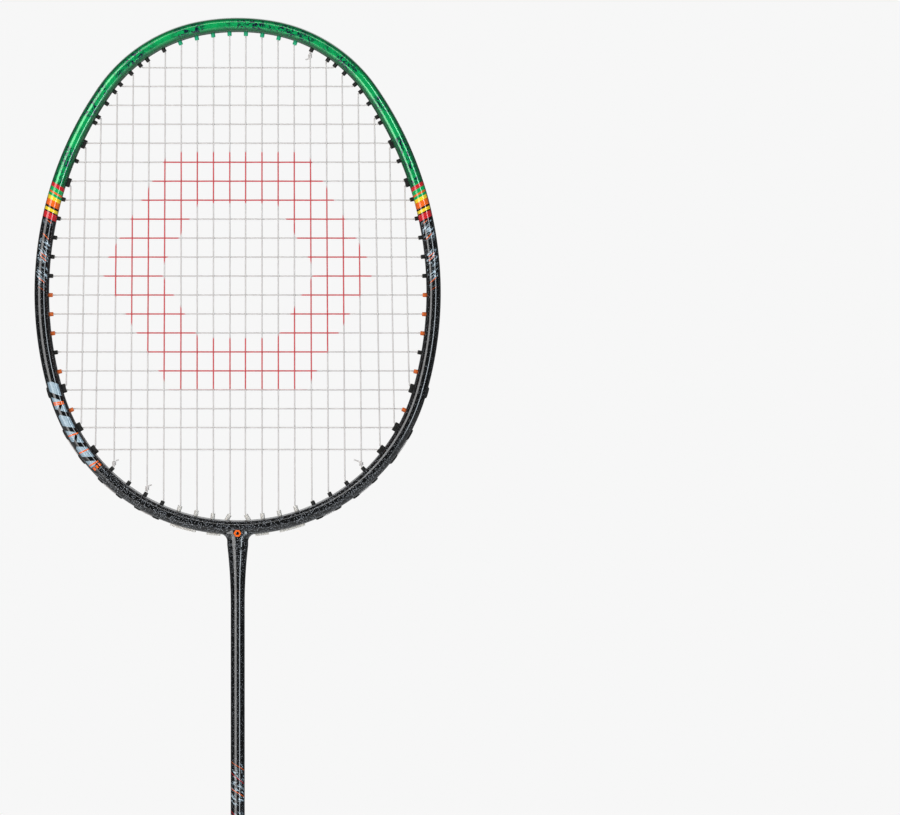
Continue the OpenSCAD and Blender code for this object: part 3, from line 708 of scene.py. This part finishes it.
def rounded(half_width, half_depth, power, angle):
    """A point of a rounded section, at an angle from its width axis."""
    c, s = math.cos(angle), math.sin(angle)
    return (half_width * math.copysign(abs(c) ** (2 / power), c),
            half_depth * math.copysign(abs(s) ** (2 / power), s))


def rim_section():
    """The hoop's section as (depth inside the outline, y, 1 on the groove's floor)."""
    half = RIM_T / 2
    edge = (GROOVE_HALF_W / RIM_HALF_DEPTH) ** SECTION_POWER
    lip = half * (1 - (1 - edge) ** (1 / SECTION_POWER))
    floor = [(0.0, y * GROOVE_HALF_W, 1) for y in (-0.94, -0.5, 0.0, 0.5, 0.94)]
    start = math.atan2(edge**0.5, (1 - lip / half) ** (SECTION_POWER / 2))
    round_part = []
    for angle in np.linspace(start, 2 * math.pi - start, SECTION_STEPS):
        out, y = rounded(half, RIM_HALF_DEPTH, SECTION_POWER, angle)
        round_part.append((half - out, y, 0))
    return floor + round_part


def build_hoop():
    section = rim_section()
    count = 2 * round(HALF_RUN / RING_STEP)
    points, along, across = [], [], []
    for run in (HALF_RUN * (2 * i / count - 1) for i in range(count)):
        fade = min(1.0, max(0.0, (GROOVE_END_RUN - abs(run)) / GROOVE_FADE))
        for depth, y, in_groove in section:
            x, z = rim_point(run, depth + in_groove * GROOVE_DEPTH * fade)
            points.append((x, y, z))
            along.append(abs(run) / MM)
            across.append(0.0 if in_groove else depth / MM)
    grid = np.array(points).reshape(count, len(section), 3)
    grid_piece("hoop", grid, hoop_paint(), "hoop_paint", "head_frame", ring=True, along=along,
               across=across)


SHAFT_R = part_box("shaft")[1].x
THROAT_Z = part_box("t_joint")[0].z
SLEEVE_R = SHAFT_R + 0.01 * MM
NECK_R = 5.15 * MM
NECK_TOP_Z = HOOP_BOTTOM_Z - 5 * MM
FILLET_R = 3.6 * MM
FLARE_Z = HOOP_BOTTOM_Z + 0.4 * MM - FILLET_R
THROAT_TOP_Z = HOOP_BOTTOM_Z + 5 * MM
THROAT_SIDES = 64


def throat_section(z):
    """The throat's half width, half depth and section power at a height."""
    rise = min(1.0, (z - THROAT_Z) / (NECK_TOP_Z - THROAT_Z))
    radius = SLEEVE_R + (NECK_R - SLEEVE_R) * rise**2
    climb = min(max(0.0, z - FLARE_Z), FILLET_R * 0.985)
    width = radius + FILLET_R - math.sqrt(FILLET_R**2 - climb**2)
    tuck = max(0.0, (z - HOOP_BOTTOM_Z - 1 * MM) / (4 * MM))
    return width, radius - 0.35 * MM * tuck**1.5, 2 + 0.25 * rise**3


def build_throat():
    """The throat, which swells from the shaft and spreads into the hoop with a fillet."""
    angles = circle(THROAT_SIDES)
    rows = [[(radius * math.cos(a), radius * math.sin(a), THROAT_Z) for a in angles]
            for radius in (SHAFT_R - 0.1 * MM, SLEEVE_R)]
    for z in np.concatenate([np.linspace(THROAT_Z + 0.1 * MM, FLARE_Z, 36),
                             np.linspace(FLARE_Z, THROAT_TOP_Z, 28)[1:]]):
        rows.append([(*rounded(*throat_section(z), a), z) for a in angles])
    grid_piece("throat", rows, throat_paint(), "throat_paint", "t_joint")


# ---- Strings ----

LANE = 0.36 * MM
WEAVE = 0.34 * MM
WEAVE_STEPS = 7
CORNER_CUT = 0.7 * MM
GROOVE_STEP = 1.5 * MM
HITCH_TURNS = 2.25
HITCH_STEPS = 34
HITCH_PITCH = 0.78 * MM
HITCH_R = 2 * STRING_R * 0.97
TAIL = 3.2 * MM
# The mains, counted from the middle, that carry the knots
START_MAIN = 5
END_MAIN = 6
MAIN_KNOT = 8


def mirrored(site, side):
    run, shift = site
    return run * side, shift


def site_point(site, depth):
    """The point (x, z) at a depth on a site's own line."""
    run, shift = site
    return rim_point(run, depth, shift)


def barrel_out(n):
    return THROAT_BARREL_OUT if n <= THROAT_MAINS else BARREL_OUT


def lean_line():
    """The slanting line of the innermost throat barrels: its tip, its exit from the hoop and its
    direction."""
    tip = rim_point(BOTTOM[1][0], RIM_T + THROAT_BARREL_OUT)
    way = normal(LEAN_HEADING)
    w = tip - THROAT_CENTRE
    reach = THROAT_R - THROAT_RUN_DEPTH
    length = -(w @ way) + math.sqrt((w @ way) ** 2 - w @ w + reach**2)
    return tip, tip + length * way, way


LEAN_TIP, LEAN_EXIT, LEAN_WAY = lean_line()
LEAN_EXIT_RUN = run_at(math.pi - math.asin((LEAN_EXIT - THROAT_CENTRE)[0]
                                            / np.linalg.norm(LEAN_EXIT - THROAT_CENTRE)))


def bottom_tip(n):
    if n == 1:
        return LEAN_TIP - TIP_ROOM * LEAN_WAY
    return site_point(BOTTOM[n], RIM_T + barrel_out(n) + TIP_ROOM)


def top_tip(n):
    return site_point(TOP[n], RIM_T + BARREL_OUT + TIP_ROOM)


def main_x(n, z):
    """Where the right-hand main n is at a height, or None past its ends."""
    (x1, z1), (x0, z0) = top_tip(n), bottom_tip(n)
    if not z0 < z < z1:
        return None
    return x0 + (x1 - x0) * (z - z0) / (z1 - z0)


def over(n, k, side):
    """1 where main n passes behind cross k, and -1 where it passes in front."""
    return (-1) ** (k + (MAINS - n if side < 0 else MAINS + n - 1))


def woven(ends, crossings):
    """Points between two ends (x, z), woven over and under: crossings is (share, sign) in order."""
    shares = np.array([c[0] for c in crossings])
    marks = np.concatenate([[0], shares, [1]])
    samples = np.unique(np.concatenate([np.linspace(a, b, WEAVE_STEPS)
                                        for a, b in zip(marks, marks[1:])]))
    index = np.interp(samples, shares, np.arange(len(shares)))
    height = WEAVE * crossings[0][1] * np.cos(math.pi * index)
    fade = np.clip(np.minimum(samples / shares[0], (1 - samples) / (1 - shares[-1])), 0, 1)
    height = height * fade + LANE * (1 - fade)
    a, b = np.array(ends[0]), np.array(ends[1])
    flat = a + (b - a) * samples[:, None]
    return np.column_stack([flat[:, 0], height, flat[:, 1]])


def main_path(n, side):
    """A main string from its top tip to its bottom tip."""
    top, bottom = (point * [side, 1] for point in (top_tip(n), bottom_tip(n)))
    crossings = []
    for k in range(1, CROSSES + 1):
        if main_x(n, cross_z(k)) is not None:
            share = (top[1] - cross_z(k)) / (top[1] - bottom[1])
            crossings.append((share, over(n, k, side)))
    return woven((top, bottom), crossings)


def cross_path(k):
    """A cross string from its left tip to its right tip."""
    x, z = site_point(CROSS[k], RIM_T + BARREL_OUT + TIP_ROOM)
    crossings = []
    for side, order in ((-1, range(MAINS, 0, -1)), (1, range(1, MAINS + 1))):
        for n in order:
            where = main_x(n, z)
            if where is not None and where < x:
                crossings.append(((side * where + x) / (2 * x), -over(n, k, side)))
    return woven(((-x, z), (x, z)), crossings)


def in_space(points, y):
    return np.array([(p[0], y, p[1]) for p in points])


def groove_path(start, end, side, depth, y):
    """A run in the groove on one side, between two right-hand sites or their mirror images."""
    start, end = sum(start), sum(end)
    runs = np.linspace(start, end, max(3, int(abs(end - start) / GROOVE_STEP)))
    return in_space([rim_point(run, depth) * [side, 1] for run in runs], y)


def main_loop(a, b, side, at_top):
    """The loop in the groove that joins two mains, from a to b."""
    sites = TOP if at_top else BOTTOM
    if at_top or min(a, b) > THROAT_MAINS:
        depth = RUN_DEPTH if at_top else LOW_RUN_DEPTH
        return groove_path(sites[a], sites[b], side, depth, LANE)
    ends = [(LEAN_EXIT_RUN if n == 1 else sites[n][0], 0) for n in (a, b)]
    return groove_path(*ends, side, THROAT_RUN_DEPTH, LANE)


def knot(n, side, at_top, side_y):
    """From the tip of a main's barrel: two turns round that main, then a cut tail."""
    tip, far = (point * [side, 1] for point in (bottom_tip(n), top_tip(n))[::-1 if at_top else 1])
    way = (far - tip) / np.linalg.norm(far - tip)
    out_way = np.array([way[1], -way[0]])
    points = [(tip[0], -LANE, tip[1])]
    for turn in np.linspace(0, HITCH_TURNS, HITCH_STEPS):
        angle = math.pi + 2 * math.pi * turn
        p = tip + way * (0.5 * MM + HITCH_PITCH * turn) + out_way * HITCH_R * math.sin(angle)
        points.append((p[0], side_y * HITCH_R * math.cos(angle) + LANE, p[1]))
    last = np.array(points[-1])
    x, z = out_way * 0.92 + way * 0.35
    swing = np.array([x if last[0] * x < 0 else -x, 0.12, z])
    return np.array(points + [last + swing * TAIL * t for t in (0.25, 0.6, 1.0)])


def half_of_mains(side):
    """The main string from the crown down one side, woven row by row, to its knot."""
    parts = []
    for n in range(1, MAINS + 1):
        at_top = n % 2 == 0
        line = main_path(n, side)
        parts.append(line[::-1] if at_top else line)
        if n < MAINS:
            parts.append(main_loop(n, n + 1, side, at_top))
    parts.append(groove_path(BOTTOM[MAINS], BOTTOM[MAIN_KNOT], side, RUN_DEPTH, 2.2 * LANE))
    parts.append(knot(MAIN_KNOT, side, False, 1))
    return np.concatenate(parts)


def string_piece(name, path, material, node):
    rings = tube(round_corners(path, CORNER_CUT), STRING_R)
    grid_piece(name, rings, material, "string", node, 60)


def build_strings():
    nylon = string_paint()
    right, left = half_of_mains(1), half_of_mains(-1)
    crown = [groove_path(TOP[1], (0, 0), -1, RUN_DEPTH, LANE)[:-1],
             groove_path((0, 0), TOP[1], 1, RUN_DEPTH, LANE)]
    string_piece("main_strings", np.concatenate([left[::-1], *crown, right]), nylon, "main_string")

    parts = [knot(START_MAIN, 1, True, -1)[::-1],
             groove_path(TOP[START_MAIN], CROSS[1], 1, RUN_DEPTH, -LANE)]
    for k in range(1, CROSSES + 1):
        line = cross_path(k)
        side = -1 if k % 2 else 1
        parts.append(line[::-1] if side < 0 else line)
        following = BOTTOM[END_MAIN] if k == CROSSES else CROSS[k + 1]
        parts.append(groove_path(CROSS[k], following, side, RUN_DEPTH, -LANE))
    parts.append(knot(END_MAIN, -1, False, -1))
    string_piece("cross_strings", np.concatenate(parts), nylon, "cross_string")


# ---- Grommets ----

BARREL_R = 1.05 * MM
BORE_R = 0.8 * MM
FLANGE_R = 1.5 * MM
BARREL_SIDES = 24
BARREL_START = GROOVE_DEPTH - 0.45 * MM
BARREL_END = RIM_T + BARREL_OUT
# A barrel's closed profile as (depth inside the outline, radius, 1 on its cut end, where the painted
# highlight goes)
BARREL_PROFILE = (
    (BARREL_START, FLANGE_R, 0), (GROOVE_DEPTH, FLANGE_R, 0), (GROOVE_DEPTH, BARREL_R, 0),
    (RIM_T - 0.4 * MM, BARREL_R, 0), (RIM_T + 0.1 * MM, BARREL_R, 0),
    (BARREL_END - 0.35 * MM, BARREL_R * 0.97, 0), (BARREL_END - 0.12 * MM, BARREL_R * 0.95, 0.3),
    (BARREL_END, BARREL_R * 0.86, 1), (BARREL_END, BORE_R, 1),
    (BARREL_END - 0.15 * MM, BORE_R * 0.95, 0.6), (RIM_T, BORE_R * 0.95, 0),
    (BARREL_START, BORE_R, 0),
)
# The section of the web that joins a pair of barrels and leaves their bores free, as (shift, y)
WEB = [(-1.2, 1.04), (1.2, 1.04), (1.2, 0.84), (0.38, 0.84), (0.38, -0.84), (1.2, -0.84),
       (1.2, -1.04), (-1.2, -1.04), (-1.2, -0.84), (-0.38, -0.84), (-0.38, 0.84), (-1.2, 0.84)]
PAD_OUT = 0.6 * MM
PAD_HALF_LEN = 2.1 * MM
PAIR_PAD_HALF_LEN = 1.45 * PAD_HALF_LEN
PAD_HALF_W = 1.45 * MM
PAD_ROWS = 15
PAD_SIDES = 16
ORANGE_CROSSES = (13, 14, 15, 17, 19)


def closed_part(points, columns, flip, ring=False, end_highlights=None):
    """A closed part as (points, faces, painted highlight shares), from points stored row by row."""
    faces = grid_faces(len(points) // columns, columns, ring)
    if flip:
        faces = [face[::-1] for face in faces]
    return points, faces, end_highlights or [0.0] * len(points)


def barrel(site):
    """A grommet barrel."""
    heading = heading_at(site[0])
    side = -1 if site[0] < 0 else 1
    across = np.array([tangent(heading)[0] * side, 0, tangent(heading)[1]])
    points, end_highlights = [], []
    for depth, radius, tip in BARREL_PROFILE:
        x, z = site_point(site, depth)
        for angle in circle(BARREL_SIDES):
            point = np.array([x, 0, z]) + radius * math.cos(angle) * across
            points.append((point[0], radius * math.sin(angle), point[2]))
            # Share of the painted highlight at each point
            end_highlights.append(tip)
    return closed_part(points, BARREL_SIDES, side > 0, True, end_highlights)


def pair_web(run):
    """The web between a pair of barrels."""
    points = []
    for depth in (RIM_T - 0.4 * MM, BARREL_END - 0.12 * MM):
        for shift, y in WEB:
            x, z = site_point((run, shift * MM), depth)
            points.append((x, y * MM, z))
    return closed_part(points, len(WEB), run < 0)


def strip_pad(run, half_len):
    """The rounded pad of a grommet strip that stands out of the groove."""
    side = -1 if run < 0 else 1
    height = (GROOVE_DEPTH + PAD_OUT) / 2
    points = []
    for t in np.linspace(-1, 1, PAD_ROWS):
        swell = (1 - abs(t) ** 5) ** 0.4
        for angle in circle(PAD_SIDES):
            up, wide = rounded(1, 1, 3.5, angle)
            lift = 1 + (up * swell if up > 0 else up)
            x, z = rim_point(abs(run) + t * half_len, GROOVE_DEPTH - height * lift)
            points.append((x * side, wide * PAD_HALF_W * max(swell, 0.3), z))
    return closed_part(points, PAD_SIDES, side > 0)


def grommet_piece(name, material, node, sites, pads=(), webs=()):
    """One piece from the barrels at some sites, and the pads and webs at some runs."""
    made = [barrel(site) for site in sites]
    made += [strip_pad(*pad) for pad in pads] + [pair_web(run) for run in webs]
    points, faces = [], []
    for some_points, some_faces, _ in made:
        first = len(points)
        points.extend(some_points)
        faces.extend([[i + first for i in face] for face in some_faces])
    mesh = bpy.data.meshes.new(name)
    mesh.from_pydata(points, [], faces)
    set_attribute(mesh, "tip", [tip for _, _, end_highlights in made for tip in end_highlights])
    shade(mesh, 32)
    add_piece(name, mesh, material, node)


def build_grommets():
    # The last colour given to each grommet paint is a painted highlight on the barrels' cut ends
    black = grommet_paint("grommet_black", (0.006, 0.006, 0.006), (0.016, 0.015, 0.013),
                          (0.09, 0.075, 0.055))
    green = grommet_paint("grommet_green", (0.0, 0.28, 0.12), (0.02, 0.4, 0.19),
                          (0.06, 0.5, 0.28))
    orange = grommet_paint("grommet_orange", (0.5, 0.09, 0.015), (0.7, 0.15, 0.03),
                           (0.6, 0.14, 0.04))
    crown = [mirrored(TOP[n], side) for side in (-1, 1) for n in range(1, 5)]
    grommet_piece("grommets_crown", green, "grommets_top", crown)
    upper = [TOP[n] for n in range(5, 10)]
    upper += [CROSS[k] for k in range(1, 13) if k not in PAIRED_CROSSES]
    oranges = [CROSS[k] for k in ORANGE_CROSSES]
    lower = [CROSS[16]] + [BOTTOM[n] for n in range(5, 9)]
    pairs = [(pair_site(p), shift) for p in range(5) for shift in (-PAIR_GAP / 2, PAIR_GAP / 2)]
    for side, word in ((-1, "left"), (1, "right")):
        pads = [(BOTTOM[n][0] * side, PAD_HALF_LEN) for n in range(5, 9)]
        pair_pads = [(pair_site(p) * side, PAIR_PAD_HALF_LEN) for p in (2, 3, 4)]
        webs = [pair_site(p) * side for p in range(5)]
        for name, material, slot, sites, its_pads, its_webs in (
            ("upper", black, "grommet_black", upper, [], []),
            ("side", orange, "grommet_orange", oranges, [], []),
            ("lower", black, "grommet_black", lower, pads, []),
            ("paired", black, "grommet_black", pairs, pair_pads, webs),
        ):
            node = f"grommets_{name}_{word}"
            grommet_piece(f"{node}_barrels", material, node,
                          [mirrored(site, side) for site in sites], its_pads, its_webs)
    dress(clear_nylon(), "throat_grommets_left", "throat_grommets_right")


# ---- Cone cap, tape and grip ----

CONE_TOP_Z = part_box("cone_cap")[1].z
# The cone cap's outside as (radius, z), in millimetres
CONE_PROFILE = ((9.0, 158.0), (9.0, 165.5), (8.62, 169.6), (7.1, 179.4), (5.9, 187.0), (4.95, 194.0),
                (4.15, 200.4))
VEE_HALF_W = 4 * MM
VEE_DEPTH = 4.2 * MM
TURN_SIDES = 96


def build_cone():
    """The cone cap: a turned shell with a rounded lip and a vee cut in front and behind."""
    radii, heights = np.array(CONE_PROFILE).T * MM
    angles = circle(TURN_SIDES)
    vee = VEE_DEPTH * np.clip(1 - np.abs(radii[-1] * np.sin(angles)) / VEE_HALF_W, 0, 1)
    tops = CONE_TOP_Z - vee
    rows = []
    for t in np.concatenate([np.linspace(0, 0.96, 44), [0.975, 0.985, 0.993]]):
        z = heights[0] + (tops - heights[0]) * t
        rows.append((np.interp(z, heights, radii), z))
    edge_r = np.interp(tops, heights, radii)
    inner_r = SHAFT_R + 0.03 * MM
    rows += [(edge_r - 0.05 * MM, tops - 0.03 * MM), (edge_r - 0.16 * MM, tops),
             (inner_r, tops), (inner_r, tops - 4 * MM)]
    points = [turned(r, angles, z) for r, z in rows]
    grid_piece("cone_shell", points, cone_paint(), "cone_plastic", "cone_cap", 45)


TAPE_LOW, TAPE_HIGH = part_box("finishing_tape")
TAPE_ROWS = 70
# The tape's outside as (share of its height, radius in millimetres)
TAPE_PROFILE = ((0.0, 11.0), (0.03, 11.2), (0.3, 10.85), (0.52, 10.55), (0.6, 10.42), (0.63, 10.2),
                (0.66, 10.36), (0.8, 10.05), (0.93, 9.65), (0.985, 9.4), (1.0, 9.1))


def build_tape():
    """Elastic tape over the top of the grip, with a crease where its end laps."""
    angles = circle(TURN_SIDES)
    rows = []
    for share in np.linspace(0, 1, TAPE_ROWS):
        middle = math.sin(math.pi * share)
        wave = 0.07 * MM * np.sin(3 * angles + 9 * share) + 0.04 * MM * np.sin(7 * angles - 14 * share)
        slope = 0.5 * MM * np.sin(angles - 0.6) * middle
        radius = np.interp(share, *np.array(TAPE_PROFILE).T) * MM + wave * middle
        rows.append(turned(radius, angles, TAPE_LOW.z + (TAPE_HIGH.z - TAPE_LOW.z) * share + slope))
    grid_piece("tape_wrap", rows, tape_paint(), "tape", "finishing_tape", 40)


GRIP_LOW, GRIP_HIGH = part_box("grip_wrap")
GRIP_HALF_W = 13.7 * MM
GRIP_HALF_D = 12.3 * MM
GRIP_STEPS = 300
GRIP_RISE = 0.3 * MM
FLARE_HALF = GRIP_HIGH.x - GRIP_HALF_W
BEVEL_CUT = 0.29
CORNER_POWER = 9.0
BLEND = 0.35 * MM
WRAP_PITCH = 21 * MM
HOLE_PITCH_AROUND = 3.4 * MM
HOLE_PITCH_UP = 2.9 * MM
HOLE_ROWS = 6
HOLES_ROUND = round(math.pi * (GRIP_HALF_W + GRIP_HALF_D) / HOLE_PITCH_AROUND)
HOLE_R = 0.62 * MM
HOLE_DEPTH = 0.55 * MM
SEAM_DEPTH = 0.27 * MM
# The round envelope of the handle's shoulder as (radius, z), in millimetres
SHOULDER = ((15.3, 118.0), (13.6, 136.0), (12.45, 146.0), (11.95, 151.0), (11.2, 156.0), (10.6, 158.5),
            (10.0, 163.5), (9.6, 166.0))


def smooth(x):
    x = np.clip(x, 0, 1)
    return x * x * (3 - 2 * x)


def handle_radius(angle, z):
    """Distance from the axis to the wrapped handle's outside, without the strip's relief."""
    flare = FLARE_HALF * (1 - smooth((z - 9 * MM) / (25 * MM)))
    half_w, half_d = GRIP_HALF_W + flare, GRIP_HALF_D + flare
    c, s = np.abs(np.sin(angle)), np.abs(np.cos(angle))
    bevel = (half_w + half_d - BEVEL_CUT * 2 * half_d) / math.sqrt(2)
    flat = ((c / half_w) ** CORNER_POWER + (s / half_d) ** CORNER_POWER
            + ((c + s) / math.sqrt(2) / bevel) ** CORNER_POWER) ** (-1 / CORNER_POWER)
    radii, heights = np.array(SHOULDER).T
    envelope = np.interp(z / MM, heights, radii) * MM
    return -np.logaddexp(-flat / BLEND, -envelope / BLEND) * BLEND


def wrap_relief(angle, z):
    """How far below the handle's outside the wound strip lies, and 1 inside a perforation."""
    turn = z / WRAP_PITCH + angle / (2 * math.pi)
    share = turn - np.floor(turn)
    edge = np.minimum(share, 1 - share) * WRAP_PITCH
    lap = SEAM_DEPTH * np.exp(-((share * WRAP_PITCH) / (0.9 * MM)) ** 2)
    lap = lap + SEAM_DEPTH * np.exp(-(((1 - share) * WRAP_PITCH) / (0.35 * MM)) ** 2)
    crown = 0.25 * MM * (1 - smooth(edge / (5 * MM)))
    up = (share - 0.5) * WRAP_PITCH
    u = (angle / (2 * math.pi) * HOLES_ROUND + 0.5) % 1 - 0.5
    v = (up / HOLE_PITCH_UP) % 1 - 0.5
    distance = np.hypot(u * HOLE_PITCH_AROUND, v * HOLE_PITCH_UP)
    in_rows = np.abs(up) < HOLE_ROWS / 2 * HOLE_PITCH_UP
    hole = (1 - smooth((distance - 0.55 * HOLE_R) / (0.5 * HOLE_R))) * in_rows
    return lap + crown + HOLE_DEPTH * hole, hole


def build_grip():
    """The wound strip: laps rise round the handle, with six rows of holes in each wrap."""
    angles = circle(GRIP_STEPS)
    rows, hollow = [], []
    for z in np.arange(GRIP_LOW.z, GRIP_HIGH.z, GRIP_RISE):
        relief, hole = wrap_relief(angles, z)
        end = 0.5 * MM * (1 - smooth((z - GRIP_LOW.z) / (1.2 * MM)))
        rows.append(turned(handle_radius(angles, z) - relief - end, angles, z))
        # The hole mask also carries the painted shade inside the perforations
        hollow.append(hole)
    grid_piece("grip_strip", rows, grip_paint(), "grip", "grip_wrap", 50, hollow=hollow)


# ---- CAD nodes that keep their shape ----


def dress(material, *names):
    for name in names:
        mesh = nodes[name].data
        mesh.materials.clear()
        mesh.materials.append(material)


def dress_cad_nodes():
    dress(shaft_paint(), "shaft")
    dress(handle_wood(), "handle_half_front", "handle_half_back")
    dress(moulded_core("butt_plastic", (0.01, 0.01, 0.011), (0.022, 0.022, 0.024)), "butt_cap")
    dress(brushed_metal("badge_metal", (0.62, 0.63, 0.66)), "butt_badge")
    dress(brushed_metal("pin_steel", (0.6, 0.6, 0.62)), "butt_pins")
    dress(moulded_core("filled_resin", (0.3, 0.31, 0.33), (0.42, 0.43, 0.45)), "t_joint_core")


# ---- Floor, light and camera ----

FLOOR_R = 1.6
FLOOR_SIDES = 96
PALE = (0.93, 0.93, 0.93, 1)
COOL_FILL = (0.9, 0.95, 1.0, 1)
FILL_STRENGTH = 0.1
LIGHT_TARGET = (0, 0, 0.5)


def build_floor():
    paint = Paint("pale_floor", {"Specular IOR Level": 0.2})
    grain = paint.noise(paint.place, 0.003, 3.0)
    colour = paint.mix(grain, (0.84, 0.84, 0.84), (0.87, 0.87, 0.87))
    mesh = bpy.data.meshes.new("floor")
    rim = [(FLOOR_R * math.cos(a), FLOOR_R * math.sin(a), 0) for a in circle(FLOOR_SIDES)]
    mesh.from_pydata(rim, [], [list(range(FLOOR_SIDES))])
    mesh.materials.append(paint.done(colour, paint.step(grain, 0.3, 0.7, 0.7, 0.85)))
    floor = link("floor", mesh)


def softbox(name, azimuth, elevation, distance, size, watts, colour=(1.0, 1.0, 1.0)):
    """An area light round the racket; azimuth 0 is at the camera and 90 at the racket's right."""
    a, e = math.radians(azimuth), math.radians(elevation)
    light = bpy.data.lights.new(name, "AREA")
    light.shape = "RECTANGLE"
    light.size, light.size_y = size
    light.energy = watts
    light.color = colour
    holder = link(name, light)
    away = np.array([math.sin(a) * math.cos(e), -math.cos(a) * math.cos(e), math.sin(e)])
    holder.location = np.array(LIGHT_TARGET) + away * distance
    back = holder.location - type(holder.location)(LIGHT_TARGET)
    holder.rotation_euler = back.to_track_quat("Z", "Y").to_euler()
    holder.visible_camera = False


def build_light():
    """Four softboxes, and a world that the camera sees as a pale wall but that only fills dimly."""
    world = bpy.data.worlds.new("studio")
    bpy.context.scene.world = world
    world.use_nodes = True
    tree = world.node_tree
    tree.nodes.clear()
    output, seen, fill, choose, path = (tree.nodes.new(f"ShaderNode{kind}") for kind in (
        "OutputWorld", "Background", "Background", "MixShader", "LightPath"))
    seen.inputs["Color"].default_value = PALE
    fill.inputs["Color"].default_value = COOL_FILL
    fill.inputs["Strength"].default_value = FILL_STRENGTH
    tree.links.new(path.outputs["Is Camera Ray"], choose.inputs[0])
    tree.links.new(fill.outputs[0], choose.inputs[1])
    tree.links.new(seen.outputs[0], choose.inputs[2])
    tree.links.new(choose.outputs[0], output.inputs["Surface"])
    softbox("key_left", -34, 7, 1.4, (0.9, 1.28), 15)
    softbox("strip_right", 33, 6, 1.5, (0.3, 1.28), 11, (0.84, 0.93, 1.0))
    softbox("top", 0, 44, 1.5, (1.5, 0.3), 4)
    softbox("back", 180, 38, 1.5, (1.6, 1.1), 7)


LENS = 250.0
SENSOR = 36.0
VIEW_W = 0.4401
VIEW_X = 0.1038
VIEW_Z = 0.4843


def build_camera():
    """A long lens that looks along +Y, with the racket's head in the left half of the frame."""
    data = bpy.data.cameras.new("camera")
    data.lens = LENS
    data.sensor_width = SENSOR
    camera = link("camera", data)
    camera.location = (VIEW_X, -VIEW_W * LENS / SENSOR, VIEW_Z)
    camera.rotation_euler = (math.pi / 2, 0, 0)
    bpy.context.scene.camera = camera


build_hoop()
build_throat()
build_strings()
build_grommets()
build_cone()
build_tape()
build_grip()
dress_cad_nodes()
build_floor()
build_light()
build_camera()
bpy.context.scene.view_settings.view_transform = "Standard"
